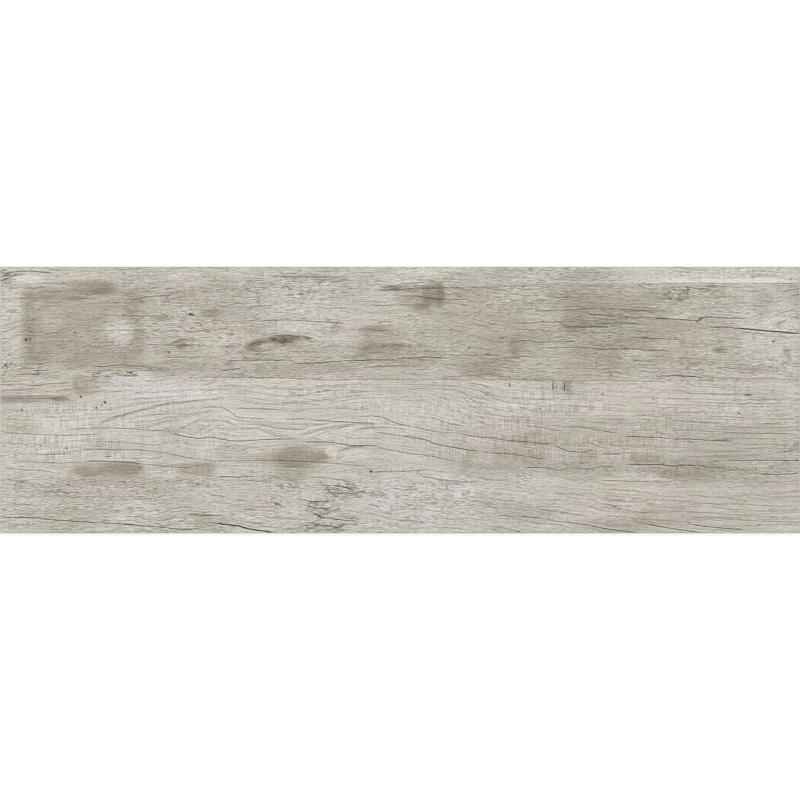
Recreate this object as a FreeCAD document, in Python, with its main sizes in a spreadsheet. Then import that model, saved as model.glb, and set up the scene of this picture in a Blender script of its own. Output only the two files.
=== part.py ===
import FreeCAD, Part
import os

import Sketcher

# One wood look porcelain plank tile: powder pressed and fired as a single piece, then ground
# square. The wear face looks up, the four edges are ground upright and their face arris is
# bevelled. The back is pressed with a grid of shallow square keys for the adhesive, parted by
# drafted ribs and framed by a plain rim, and the ribs and the rim are what the tile lies on.
# Frame: millimetres, +X along the plank, +Z out of the wear face, origin at the middle of the
# plane that the ribs and the rim share.

SIZES = {
    # Outline and edges
    "tile_length": 1200.0,
    "tile_width": 400.0,
    "tile_thickness": 10.0,
    "arris_bevel": 0.8,
    # Pressed back: key_cell is a key's side at its mouth, rim_least the narrowest rim allowed
    "key_cell": 39.0,
    "key_depth": 0.7,
    "rib_width": 3.0,
    "rim_least": 10.0,
    "field_corner_radius": 4.0,
    "press_draft_deg": 30.0,
}

# The keys repeat at one pitch both ways. As many whole ones fit as the narrowest rim leaves
# room for, and what is left over widens the rim evenly.
PITCH = "(Sizes.key_cell + Sizes.rib_width)"
KEYS_ALONG = f"floor((Sizes.tile_length - 2 * Sizes.rim_least + Sizes.rib_width) / {PITCH})"
KEYS_ACROSS = f"floor((Sizes.tile_width - 2 * Sizes.rim_least + Sizes.rib_width) / {PITCH})"
FIELD_LENGTH = f"({KEYS_ALONG} * {PITCH} - Sizes.rib_width)"
FIELD_WIDTH = f"({KEYS_ACROSS} * {PITCH} - Sizes.rib_width)"
DRAFT_RUN = "(Sizes.key_depth * tan(Sizes.press_draft_deg))"

NODE = "plank_tile"
PARTS_FOLDER = "parts"


def make_sizes(doc):
    """Puts the driving dimensions in a sheet, one row each, with the name as the alias."""
    sheet = doc.addObject("Spreadsheet::Sheet", "Sizes")
    for row, (name, value) in enumerate(SIZES.items(), start=1):
        sheet.set(f"A{row}", name)
        sheet.set(f"B{row}", str(value))
        sheet.setAlias(f"B{row}", name)
    doc.recompute()
    return sheet


def origin_feature(body, role):
    """One of the body's own planes or axes, by its role."""
    return next(f for f in body.Origin.OriginFeatures if f.Role == role)


def make_sketch(body, name, plane):
    """An empty sketch on one of the body's own origin planes."""
    sketch = body.newObject("Sketcher::SketchObject", name)
    sketch.AttachmentSupport = [(origin_feature(body, plane), "")]
    sketch.MapMode = "FlatFace"
    return sketch


def tip(edge, which):
    """One end of an edge the way a sketch counts: the edge's number, then 1 or 2."""
    return edge, ("start", "end").index(which) + 1


def sketch_origin():
    """The sketch's origin point, which is the start of its horizontal axis, edge -1."""
    return tip(-1, "start")


def draw_quad(sketch, corners):
    """Draws a closed four-sided outline whose edges 0 and 2 stay horizontal."""
    points = [FreeCAD.Vector(x, y, 0) for x, y in corners]
    for here, there in zip(points, points[1:] + points[:1]):
        sketch.addGeometry(Part.LineSegment(here, there), False)
    for edge in range(4):
        ends = tip(edge, "end") + tip((edge + 1) % 4, "start")
        sketch.addConstraint(Sketcher.Constraint("Coincident", *ends))
    for edge in (0, 2):
        sketch.addConstraint(Sketcher.Constraint("Horizontal", edge))


def bind(sketch, name, kind, first, second, expression):
    """Adds one named dimension between two tips, as drawn, and ties it to the sheet."""
    span = sketch.getPoint(*second) - sketch.getPoint(*first)
    drawn = span.x if kind == "DistanceX" else span.y
    index = sketch.addConstraint(Sketcher.Constraint(kind, *first, *second, drawn))
    sketch.renameConstraint(index, name)
    sketch.setExpression(f"Constraints.{name}", expression)


def make_rectangle(body, name, length, width):
    """A rectangle on the bed plane, centred on the origin, of two bound sizes."""
    sketch = make_sketch(body, name, "XY_Plane")
    half = SIZES["key_cell"] / 2
    draw_quad(sketch, [(-half, -half), (half, -half), (half, half), (-half, half)])
    for edge in (1, 3):
        sketch.addConstraint(Sketcher.Constraint("Vertical", edge))
    middle = tip(0, "start") + tip(2, "start") + sketch_origin()
    sketch.addConstraint(Sketcher.Constraint("Symmetric", *middle))
    bind(sketch, "length", "DistanceX", tip(0, "start"), tip(0, "end"), length)
    bind(sketch, "width", "DistanceY", tip(1, "start"), tip(1, "end"), width)
    return sketch


def make_rib_section(body, name, plane, field):
    """A rib's trapezoid, crest on the bed plane and root on the keys' floor, where the first
    rib stands: one key in from the low side of the field."""
    sketch = make_sketch(body, name, plane)
    crest = SIZES["rib_width"]
    depth = SIZES["key_depth"]
    low, high = -2 * crest, -crest
    draw_quad(sketch, [(low, 0), (high, 0), (high + depth, depth), (low - depth, depth)])
    axis, _ = sketch_origin()
    sketch.addConstraint(Sketcher.Constraint("PointOnObject", *tip(0, "start"), axis))
    place = f"{field} / 2 - Sizes.key_cell"
    bind(sketch, "place", "DistanceX", tip(0, "start"), sketch_origin(), place)
    bind(sketch, "crest", "DistanceX", tip(0, "start"), tip(0, "end"), "Sizes.rib_width")
    bind(sketch, "height", "DistanceY", tip(0, "start"), tip(2, "end"), "Sizes.key_depth")
    bind(sketch, "low_flank", "DistanceX", tip(2, "end"), tip(0, "start"), DRAFT_RUN)
    bind(sketch, "high_flank", "DistanceX", tip(0, "end"), tip(2, "start"), DRAFT_RUN)
    return sketch


def make_slab(body):
    """The pressed plank: its outline carried up to the wear face."""
    outline = make_rectangle(body, "outline", "Sizes.tile_length", "Sizes.tile_width")
    slab = body.newObject("PartDesign::Pad", "slab")
    slab.Profile = outline
    slab.setExpression("Length", "Sizes.tile_thickness")
    body.Document.recompute()
    return slab


def make_face_bevel(body, slab):
    """The small bevel ground along the arris all round the wear face."""
    faces = slab.Shape.Faces
    top = max(range(len(faces)), key=lambda i: faces[i].CenterOfMass.z)
    bevel = body.newObject("PartDesign::Chamfer", "face_bevel")
    bevel.Base = (slab, [f"Face{top + 1}"])
    bevel.setExpression("Size", "Sizes.arris_bevel")
    body.Document.recompute()
    return bevel


def make_back_field(body, before):
    """The shallow recess of the back, inside the rim."""
    outline = make_rectangle(body, "field_outline", FIELD_LENGTH, FIELD_WIDTH)
    field = body.newObject("PartDesign::Pocket", "back_field")
    field.Profile = outline
    field.Reversed = True
    field.setExpression("Length", "Sizes.key_depth")
    body.Document.recompute()
    if field.Shape.Volume >= before.Shape.Volume:
        raise RuntimeError("the back field takes nothing out of the slab")
    return field


def upright_in_field(items):
    """Numbers of the edges or faces that stand between the bed plane and the keys' floor."""
    depth = SIZES["key_depth"]
    found = []
    for number, item in enumerate(items, start=1):
        box = item.BoundBox
        if abs(box.ZMin) < depth / 10 and abs(box.ZMax - depth) < depth / 10:
            found.append(number)
    return found


def make_field_corners(body, field):
    """Rounds the four upright corners where the field's walls meet."""
    corners = body.newObject("PartDesign::Fillet", "field_corners")
    corners.Base = (field, [f"Edge{n}" for n in upright_in_field(field.Shape.Edges)])
    corners.setExpression("Radius", "Sizes.field_corner_radius")
    body.Document.recompute()
    return corners


def make_field_draft(body, corners):
    """Leans the field's walls inwards from the bed plane, so that the punch draws out."""
    draft = body.newObject("PartDesign::Draft", "field_draft")
    draft.Base = (corners, [f"Face{n}" for n in upright_in_field(corners.Shape.Faces)])
    draft.NeutralPlane = (origin_feature(body, "XY_Plane"), [""])
    draft.Reversed = True
    draft.setExpression("Angle", "Sizes.press_draft_deg")
    body.Document.recompute()
    if draft.Shape.Volume <= corners.Shape.Volume:
        raise RuntimeError("the field's walls lean the wrong way")
    return draft


def make_ribs(body, name, plane, axis, run, field, count):
    """One way's ribs: the first is carried across the field and half a rim beyond at each end,
    and the rest repeat it at the keys' pitch."""
    rib = body.newObject("PartDesign::Pad", f"{name}_rib")
    rib.Profile = make_rib_section(body, f"{name}_rib_section", plane, field)
    rib.SideType = "Symmetric"
    rib.setExpression("Length", f"{run} + Sizes.rim_least")
    body.Document.recompute()
    ribs = body.newObject("PartDesign::LinearPattern", f"{name}_ribs")
    ribs.Originals = [rib]
    ribs.Direction = (origin_feature(body, axis), [""])
    ribs.Mode = "Spacing"
    ribs.setExpression("Offset", PITCH)
    ribs.setExpression("Occurrences", f"{count} - 1")
    body.Tip = ribs
    body.Document.recompute()
    return ribs


def make_tile(doc):
    """Builds the whole tile as one body."""
    body = doc.addObject("PartDesign::Body", NODE)
    body.Label = NODE
    slab = make_slab(body)
    bevel = make_face_bevel(body, slab)
    field = make_back_field(body, bevel)
    corners = make_field_corners(body, field)
    make_field_draft(body, corners)
    make_ribs(body, "long", "YZ_Plane", "Y_Axis", FIELD_LENGTH, FIELD_WIDTH, KEYS_ACROSS)
    make_ribs(body, "cross", "XZ_Plane", "X_Axis", FIELD_WIDTH, FIELD_LENGTH, KEYS_ALONG)
    return body


def check(doc, body):
    """Stops before anything is written if a feature failed or the solid isn't sound."""
    for item in doc.Objects:
        if "Invalid" in item.State or "Error" in item.State:
            raise RuntimeError(f"{item.Name} failed: {item.State}")
    shape = body.Shape
    if shape.isNull() or not shape.isValid() or len(shape.Solids) != 1:
        raise RuntimeError(f"{body.Label} isn't one sound solid")


def main():
    doc = FreeCAD.newDocument("PlankTile")
    make_sizes(doc)
    tile = make_tile(doc)
    check(doc, tile)
    os.makedirs(PARTS_FOLDER, exist_ok=True)
    tile.Shape.exportStep(os.path.join(PARTS_FOLDER, f"{tile.Label}.step"))
    box = tile.Shape.BoundBox
    print(f"{tile.Label}: {box.XLength:.2f} x {box.YLength:.2f} x {box.ZLength:.2f} mm")
    print(f"volume {tile.Shape.Volume / 1000:.1f} cm3 in {len(tile.Shape.Faces)} faces")


main()
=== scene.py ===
"""Dresses the wood look porcelain plank.

The plank is one fired piece, so it is one closed skin here as well: a face sheet with the
relief of weathered boards, the ground bevel and edges, and the pressed key grid of the back.
Its face carries the printed picture: four boards with their seams, checks, knots and stains.
Places in the print are millimetres on the face, as a tape measures them: along from the left
short edge, down from the far long edge. Everything else is in metres in the frame's axes.
"""
import logging
import math
from collections.abc import Iterable
from dataclasses import dataclass
from enum import Enum
from typing import TypeAlias

import bpy
import numpy as np
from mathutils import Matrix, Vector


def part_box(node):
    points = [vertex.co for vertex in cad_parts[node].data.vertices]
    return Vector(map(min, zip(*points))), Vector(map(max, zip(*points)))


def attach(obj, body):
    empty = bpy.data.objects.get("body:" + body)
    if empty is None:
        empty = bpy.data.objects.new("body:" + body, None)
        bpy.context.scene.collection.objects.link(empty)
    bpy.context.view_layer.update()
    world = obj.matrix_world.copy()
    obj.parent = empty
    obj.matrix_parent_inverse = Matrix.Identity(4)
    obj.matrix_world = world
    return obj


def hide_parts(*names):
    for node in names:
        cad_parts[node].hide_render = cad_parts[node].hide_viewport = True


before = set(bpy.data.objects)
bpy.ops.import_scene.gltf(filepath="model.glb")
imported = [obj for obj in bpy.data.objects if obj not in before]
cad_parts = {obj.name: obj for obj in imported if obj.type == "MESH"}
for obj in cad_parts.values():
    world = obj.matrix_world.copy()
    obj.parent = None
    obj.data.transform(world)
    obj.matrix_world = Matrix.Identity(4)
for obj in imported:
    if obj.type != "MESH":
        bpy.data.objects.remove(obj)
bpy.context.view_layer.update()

NODE = "plank_tile"
BODY = "root"
MM = 0.001
PER_METRE = 1000.0

# The plank's picture map, in pixels: left, low, width and height of each side's area
MAP_NAME = "OFBake"
MAP_SIDE = 1024
FACE_AREA = (4, 340, 1016, 680)
BACK_AREA = (4, 48, 1016, 286)
EDGE_AREAS = ((4, 34, 1016, 10), (4, 6, 339, 10), (4, 20, 1016, 10), (349, 6, 339, 10))
# The wall's share of an edge area's height, below the bevel
WALL_SHARE = 0.7

Array = np.ndarray
Point = tuple[float, float]
Path = tuple[Point, ...]
Colour = tuple[float, float, float]

log = logging.getLogger("plank")


class Line(Enum):
    """How a check is printed: its widest opening in millimetres and its depth of ink."""

    RING = (1.5, 0.22)
    HAIR = (1.3, 0.25)
    FINE = (1.3, 0.42)
    OPEN = (1.4, 0.66)
    WIDE = (2.1, 1.0)


class Wash(Enum):
    """What a soft patch of the print does to the boards, as (attribute, component)."""

    BROWN = ("stain", 0)
    OLIVE = ("stain", 1)
    PINK = ("stain", 2)
    PALE = ("bleach", 0)
    COOL = ("bleach", 1)
    SHADE = ("bleach", 2)
    SPLITS = ("working", 0)
    SAWN = ("working", 1)
    RINGS = ("working", 2)


WASH_LAYERS = ("stain", "bleach", "working")
# How much lighter a full wash makes the print, below 0 for darker
WASH_LEVELS = {Wash.PALE: 0.10, Wash.SHADE: -0.27, Wash.BROWN: -0.15, Wash.OLIVE: -0.12}


@dataclass(frozen=True)
class Check:
    """A drying check or an open ring: a thin dark line that runs with the grain.

    Attributes:
        line: How it is printed.
        path: Points from left to right, as (along, down).
    """

    line: Line
    path: Path


@dataclass(frozen=True)
class Patch:
    """A soft-edged patch of colour or wear.

    Attributes:
        at: Its centre, as (along, down).
        reach: Its half sizes, along and down.
        amount: How strong it is in the middle.
        corners: 2 for an oval, more for a shape with squarer corners.
        turn: Degrees that its long way is turned, clockwise on the face.
        fade: How wide its soft edge is, as a share of its half size.
    """

    at: Point
    reach: Point
    amount: float
    corners: float = 2.0
    turn: float = 0.0
    fade: float = 0.6


@dataclass(frozen=True)
class Knot:
    """A knot that the grain runs round.

    Attributes:
        at: Its centre, as (along, down).
        reach: Half sizes of the grain's bulge, along and down.
        push: How far the grain is pushed aside.
    """

    at: Point
    reach: Point
    push: float


@dataclass(frozen=True)
class Hole:
    """A worm or nail hole, or a short dash.

    Attributes:
        at: Its centre, as (along, down).
        reach: Its half sizes, along and down.
    """

    at: Point
    reach: Point


@dataclass(frozen=True)
class Band:
    """One broad growth ring of the print, which shows as a soft dark line.

    Attributes:
        path: Points of its middle line from left to right, as (along, down).
        depth: How dark it is in its middle, as an amount of the shade wash.
        spread: Half its width, in millimetres.
    """

    path: Path
    depth: float
    spread: float = 1.8


@dataclass(frozen=True)
class Board:
    """One printed board, known by its lower seam.

    Attributes:
        seam: Points of its lower edge from left to right, as (along, down).
        tone: Grey level of its print at the left edge, the middle and the right edge.
        warmth: How far its grey leans to brown there.
        ring_gap: Distance between its growth rings, in millimetres.
    """

    seam: Path
    tone: tuple[float, float, float]
    warmth: tuple[float, float, float]
    ring_gap: float


# The four boards, from the far edge
BOARDS = (
    Board(
        seam=((0, 23), (90, 22), (225, 17), (310, 14), (410, 16), (507, 16), (570, 25), (700, 30),
              (780, 25), (900, 24.5), (1200, 24.5)),
        tone=(0.748, 0.750, 0.772),
        warmth=(0.30, 0.25, 0.10),
        ring_gap=6.0,
    ),
    Board(
        seam=((0, 202), (60, 201), (98, 199), (109, 192), (116, 168), (140, 156), (210, 156),
              (300, 165.5), (444, 166), (465, 168.5), (600, 169.5), (900, 170.5), (1200, 173)),
        tone=(0.722, 0.706, 0.702),
        warmth=(0.45, 0.55, 0.50),
        ring_gap=6.0,
    ),
    Board(
        seam=((0, 316), (150, 318), (322, 315), (383, 314), (495, 318), (622, 314), (637, 316),
              (667, 320), (717, 325), (900, 321), (990, 326), (1200, 329)),
        tone=(0.762, 0.758, 0.738),
        warmth=(0.22, 0.22, 0.30),
        ring_gap=4.8,
    ),
    Board(
        seam=((0, 600), (1200, 600)),
        tone=(0.726, 0.738, 0.735),
        warmth=(0.30, 0.22, 0.35),
        ring_gap=6.5,
    ),
)

# Dark lines along the seams
SEAM_LINES: dict[Line, tuple[Path, ...]] = {
    Line.HAIR: (
        ((0, 9), (40, 7), (75, 8)), ((697, 31), (740, 31), (800, 28)),
        ((0, 197.5), (40, 197.4), (75, 198), (92, 197)), ((0, 202.3), (40, 202.6), (70, 202.4)),
        ((116, 157), (160, 155.5), (210, 157)), ((531, 169.4), (600, 169.5), (700, 170), (780, 169)),
        ((780, 171), (900, 171), (1000, 172)),
    ),
    Line.FINE: (
        ((416, 13.5), (429, 15), (463, 15), (482, 16), (525, 15)), ((564, 30), (579, 30.5), (600, 28.5)),
        ((566, 36), (600, 34.5), (628, 31.7), (643, 32.4), (664, 31.7), (697, 31)),
        ((600, 25.3), (640, 24.2)), ((985, 25), (1060, 24.8), (1200, 25.3)),
        ((300, 165.8), (418, 166.4), (467, 168.6), (493, 170.3), (531, 169.4)),
    ),
}

# Checks of the two upper boards
UPPER_CHECKS: dict[Line, tuple[Path, ...]] = {
    Line.HAIR: (
        ((0, 47.4), (32, 47.8), (60, 47)), ((0, 68), (15, 68), (32, 69)),
        ((124, 96), (210, 95), (300, 97.5), (322, 99)), ((60, 60.6), (77, 59), (94, 57.4)),
        ((203, 155.4), (227, 155.4), (251, 156.2), (259, 154.7)),
        ((428, 127.5), (455, 127), (482, 126.2)),
        ((673, 134.4), (696, 132.6), (711, 133.3), (750, 131.8)),
        ((729, 139), (763, 137.6), (782, 135.4), (808, 134.8), (840, 135.6)),
        ((840, 28.5), (870, 27), (900, 28.5)), ((986, 47.8), (1007, 47.4), (1020, 49.9), (1027, 48.9)),
        ((1150, 80), (1161, 73.5), (1176, 68), (1200, 62.8)), ((1050, 165.5), (1110, 168), (1200, 169)),
        ((660, 166), (700, 164), (745, 160)), ((150, 72), (200, 74), (240, 75)),
        ((555, 60), (600, 57), (650, 58)), ((784, 165.5), (806, 163.5), (826, 165)),
        ((870, 69), (930, 76), (1000, 77)), ((372, 120), (377, 116), (388, 113.6), (404, 112)),
        ((376, 124), (385, 127), (400, 126.6), (411, 122)),
        ((404, 104.4), (418, 103), (436, 103.6), (452, 105.8)), ((452, 105.8), (461, 105.4), (469, 109)),
        ((430, 117), (447, 120.5), (460, 120), (468, 116)),
        ((494, 93), (497, 88.5), (503, 87), (508, 88.6), (511, 93)),
        ((494, 93), (499, 97), (506, 97.4), (511, 93)), ((0, 29), (14, 24), (26, 21)),
        ((0, 118), (14, 111), (30, 99)), ((0, 100), (12, 96), (28, 87)),
        ((0, 134), (16, 131), (32, 121)),
    ),
    Line.FINE: (
        ((186, 50), (200, 49), (217, 45.8), (238, 43.5), (265, 41.3)), ((167, 53.8), (182, 54.6)),
        ((217, 117), (260, 118), (300, 117)), ((325, 56.4), (334, 60.5), (353, 55.5), (367, 55.3)),
        ((370, 62.8), (385, 58.5), (397, 56.4)), ((247, 136.5), (290, 135.5), (336, 135.4)),
        ((137, 148.3), (150, 150.4), (182, 147.2), (199, 148.3), (227, 151.5), (257, 152.6)),
        ((158, 155.4), (170, 155.8)), ((184, 163.9), (197, 164.4)), ((0, 173.2), (13, 172), (34, 171.6)),
        ((32, 178), (56, 178.5), (71, 175.9), (107, 174.2)),
        ((0, 186), (13, 184.9), (28, 186), (39, 184.3), (54, 182.8)),
        ((81, 188.1), (94, 184.9), (109, 183.9)),
        ((386, 81), (420, 79.9), (450, 81), (478, 82.5), (517, 84)), ((341, 141.2), (394, 140.1)),
        ((548, 151), (574, 149.4), (620, 148)), ((619, 44.6), (632, 45.2), (653, 48.9), (707, 48.9)),
        ((769, 85), (793, 85), (814, 83), (851, 83.4)), ((810, 66), (855, 65), (900, 63)),
        ((900, 62.8), (921, 63.2), (949, 64.9), (971, 66), (1005, 66.8)),
        ((774, 111.9), (793, 110.8), (806, 113.4), (842, 112.9), (868, 111.9)),
        ((812, 121.9), (846, 121.2), (864, 120.4), (881, 121.5), (900, 123.4), (956, 123.6),
         (971, 125.4), (1007, 125.4)),
        ((900, 84.6), (943, 84.6), (962, 85.5)),
        ((1026, 31.7), (1037, 31.7), (1054, 33.9), (1064, 32.8)), ((928, 77.1), (944, 77.1)),
        ((1033, 75.2), (1044, 75.4), (1053, 76.3)), ((1041, 86.4), (1047, 83), (1054, 78)),
        ((1166, 87.4), (1178, 80.3), (1183, 76.7)),
        ((958, 107), (998, 108.2), (1020, 109.7), (1033, 110.4)), ((801, 146), (816, 144.6)),
        ((803, 156.9), (821, 156.2)), ((36, 149.4), (41, 145), (46, 144)),
        ((55, 152.6), (60, 147.2), (71, 142.9)), ((2, 151), (7, 147), (13, 144)),
        ((4, 162), (9, 156), (13, 148)),
    ),
    Line.OPEN: (
        ((188, 159), (201, 159.6)), ((22, 162.4), (38, 161), (63, 161.2)),
        ((49, 155.4), (64, 156.2), (76, 154.5)), ((394, 140.1), (420, 140.2), (441, 140.6)),
        ((441, 145), (482, 144.6), (506, 141.9), (536, 140.8), (566, 139.9), (600, 140.2)),
        ((600, 137), (626, 137), (636, 135.4), (669, 137)), ((330, 156), (345, 154), (362, 153.2)),
        ((842, 90.4), (880, 90.5), (920, 90.4)),
        ((977, 77.1), (1007, 78.6), (1037, 80.4), (1046, 80.6), (1054, 76.7), (1069, 75.2), (1089, 77.1),
         (1126, 77.4)),
        ((1060, 90.6), (1093, 90.6), (1108, 92.8)), ((947, 140.8), (981, 141.9)),
        ((981, 164.4), (1020, 163.3), (1033, 164.4), (1059, 166.5)),
        ((0, 14.6), (6, 12.4), (13, 9.2), (26, 7.5), (51, 6.6), (66, 9), (80, 9.6)),
        ((0, 21), (9, 18.6), (17, 14.6), (28, 12.4)), ((0, 8), (5, 5.5), (9, 1)),
    ),
    Line.WIDE: (
        ((1102, 92), (1125, 94), (1146, 95.8), (1166, 97.5), (1185, 99.4), (1203, 100.2)),
    ),
}

# Checks of the middle board
MIDDLE_CHECKS: dict[Line, tuple[Path, ...]] = {
    Line.RING: (
        ((84, 229.9), (103, 231), (117, 226)), ((86, 214.9), (150, 214.9), (172, 215.4)),
    ),
    Line.HAIR: (
        ((353, 212.4), (394, 212.4), (401, 213.9), (429, 215)),
        ((358, 196.7), (371, 196.7), (392, 198.9), (429, 204.2), (463, 205.7)),
        ((486, 208), (499, 204.2), (525, 198.9), (557, 195.2)), ((527, 227.8), (540, 225.6), (557, 224)),
        ((1099, 262.5), (1108, 265.9), (1136, 267), (1168, 267.4), (1200, 268)),
        ((1007, 245.4), (1046, 246), (1080, 248)),
        ((1078, 257.8), (1104, 257.1), (1136, 257.8), (1174, 258.9)), ((300, 312.2), (326, 314.4)),
        ((1000, 277), (1050, 278), (1127, 277)),
        ((139, 174.3), (150, 173.1), (163, 173.1), (170, 175.3)),
        ((222, 209.6), (244, 207), (255, 203.8), (276, 202.5), (300, 200.4)),
        ((154, 229.9), (186, 221.4), (206, 214.9), (226, 213.7)),
        ((208, 238), (222, 236.4), (262, 231), (300, 221)), ((223, 222.4), (257, 220.9), (286, 219.6)),
    ),
    Line.FINE: (
        ((0, 247), (13, 249.2), (64, 251.8), (99, 253), (129, 251.8), (150, 252.4)),
        ((105, 244), (124, 242.8), (159, 241.7), (197, 242.8), (216, 244.5), (255, 247)),
        ((562, 270), (600, 277.9), (626, 281.8), (654, 285.4), (666, 288.6), (684, 292.5), (696, 292.5)),
        ((120, 273.2), (171, 275), (203, 273.9), (231, 277), (253, 280.3), (277, 286), (300, 289.5)),
        ((300, 289.5), (328, 291.9), (386, 290.8), (420, 290.8), (482, 293.6), (504, 295.5),
         (531, 297.6), (552, 300)),
        ((21, 291.9), (49, 292.9), (86, 294.6), (107, 294), (126, 291.9)),
        ((214, 295.7), (236, 298.3), (268, 301), (290, 302)),
        ((0, 300.4), (17, 302.6), (32, 304.7), (62, 305.8), (84, 309)),
        ((300, 212.4), (319, 210.3), (332, 210.6), (345, 217), (358, 227.1), (381, 227.1), (403, 228.4)),
        ((426, 227.8), (437, 229), (463, 226.7)), ((430, 204.2), (463, 205.7), (486, 208)),
        ((499, 212.4), (520, 212.4), (532, 213.9), (558, 213.2)),
        ((613, 238.1), (628, 242.4), (639, 245), (656, 248.2), (673, 252)),
        ((561, 248), (576, 249.2), (600, 253.9)),
        ((720, 277), (739, 279.6), (761, 280.6), (782, 283.3), (799, 286), (821, 288.8)),
        ((638, 225.6), (654, 227.8), (664, 232), (673, 235.3), (692, 238.1), (705, 239)),
        ((842, 240.6), (868, 240.2), (885, 242.4), (900, 246), (930, 249.8)),
        ((557, 307.5), (568, 308.4), (579, 306.4), (605, 307), (645, 304.5)),
        ((784, 301), (816, 301.5), (838, 305.4), (857, 301.5), (885, 303.6), (900, 300.4), (928, 300.4)),
        ((1048, 298.3), (1061, 300.4), (1089, 301.5)), ((1063, 293), (1075, 291.6), (1082, 290.4)),
        ((1005, 230.6), (1037, 232.7), (1059, 233.6), (1082, 234.9)),
        ((1080, 248), (1110, 249.9), (1174, 250.3), (1200, 251.5)), ((1176, 277.5), (1192, 276)),
        ((621, 305), (634, 315), (643, 316.5), (664, 319.7), (686, 321.9), (716, 324)),
        ((900, 320.4), (928, 321.4), (958, 322.3), (984, 323.4), (1003, 325)),
        ((169, 187.1), (183, 186.6)), ((199, 188.8), (214, 188.1)),
    ),
    Line.OPEN: (
        ((255, 249.2), (276, 254.6), (300, 258.4), (309, 255.4), (323, 256.7), (346, 261.6),
         (364, 261.6), (416, 258.4), (446, 258.2)),
        ((456, 263.1), (497, 263.1), (506, 264.6), (521, 267.9), (564, 268.5)),
        ((126, 291.9), (150, 291.4), (171, 292.5), (193, 293.6), (214, 295.7)),
        ((467, 230.4), (499, 232), (536, 234.2), (566, 234.6)),
        ((557, 224), (577, 226), (587, 232), (600, 236.4), (613, 238.1)),
        ((600, 253.9), (624, 256.7), (643, 261), (651, 265.3), (671, 269.6), (696, 273.9), (720, 277)),
        ((694, 251.8), (720, 255.6), (737, 256.7), (761, 261), (793, 263.1), (831, 266.8)),
        ((831, 266.8), (842, 272.8), (855, 276.9), (872, 278.4), (890, 274.8)),
        ((936, 254), (958, 255.2), (992, 256), (1005, 258.4)),
        ((1005, 258.4), (1050, 258.9), (1071, 261), (1099, 261.8)), ((900, 280.8), (934, 281.2)),
        ((936, 296), (969, 296.8), (992, 296.8), (1011, 299.4), (1022, 297.6), (1048, 298.3)),
        ((1086, 290.4), (1136, 290.4), (1166, 290.4), (1203, 290.8)),
        ((326, 314.4), (353, 315.9), (386, 314.2)),
        ((1138, 311), (1168, 311.8), (1185, 311), (1200, 309.6)),
    ),
}

# Growth rings that show as soft lines
RING_LINES: dict[Line, tuple[Path, ...]] = {
    Line.RING: (
        ((300, 190), (311, 187), (324, 184)), ((467, 179.6), (493, 178.5), (540, 176.8), (576, 178.5)),
        ((440, 185), (482, 186.6), (504, 185), (564, 186.6)),
        ((430, 191.4), (454, 193.5), (488, 192.4), (514, 190.3), (557, 187)),
        ((448, 198), (478, 200.4), (505, 197.5), (548, 191.5)),
        ((383, 234), (403, 240), (416, 242.8), (446, 245), (463, 241.7)),
        ((506, 280.3), (514, 275), (531, 270.6), (546, 269.6)), ((536, 244), (556, 242), (580, 240.5)),
        ((687, 189), (698, 200.3), (712, 211.5), (735, 221), (761, 224.6)),
        ((694, 189), (709, 200.3), (727, 209.6), (750, 215.3), (780, 219)),
        ((681, 206), (692, 219), (709, 228.4), (727, 236), (750, 240.8)),
        ((720, 189), (739, 198), (761, 204), (800, 207.5)),
        ((600, 176.4), (636, 176.8), (681, 179), (710, 184), (740, 190.5)),
        ((606, 183.5), (650, 183), (684, 185.5), (700, 189)),
        ((700, 174), (730, 179), (756, 184), (800, 188)), ((760, 196), (792, 199), (830, 200)),
        ((770, 205), (806, 208.5), (846, 211.5), (876, 214.3)),
        ((776, 212.5), (812, 216), (850, 218.5), (896, 220)), ((790, 238.5), (816, 241.5), (846, 247)),
        ((900, 206), (924, 207.5), (943, 209.6)), ((900, 214), (940, 217), (1010, 219), (1060, 219.5)),
        ((1040, 190), (1090, 192), (1110, 192.5)), ((1040, 203), (1110, 206), (1180, 205)),
        ((1060, 224), (1130, 227.5), (1196, 228)), ((1070, 240), (1130, 241.5), (1198, 242)),
        ((913, 268), (960, 270), (1010, 270.5), (1060, 272)),
        ((1100, 272.5), (1150, 272.5), (1198, 273.5)),
        ((100, 261), (150, 262), (200, 264.5), (236, 269)), ((0, 228), (30, 230), (60, 231)),
        ((0, 264), (40, 266), (90, 267)), ((20, 280), (70, 282), (110, 280.5)),
    ),
    Line.HAIR: (
        ((300, 179), (313, 176.4), (324, 173)),
        ((319, 240.6), (339, 243.2), (360, 244.5), (385, 241), (396, 246), (411, 249), (428, 252.4),
         (440, 254.8)),
        ((469, 254.6), (482, 250.3), (493, 247), (506, 242.8), (527, 238.5)),
        ((514, 256.7), (536, 257.4), (564, 257.8), (579, 260)),
        ((1030, 176.8), (1050, 179.6), (1071, 181), (1089, 182.4)),
        ((958, 207.4), (979, 209.6), (999, 211.7), (1020, 211)),
        ((949, 221.8), (984, 224.6), (1007, 225.6)),
    ),
}

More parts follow.
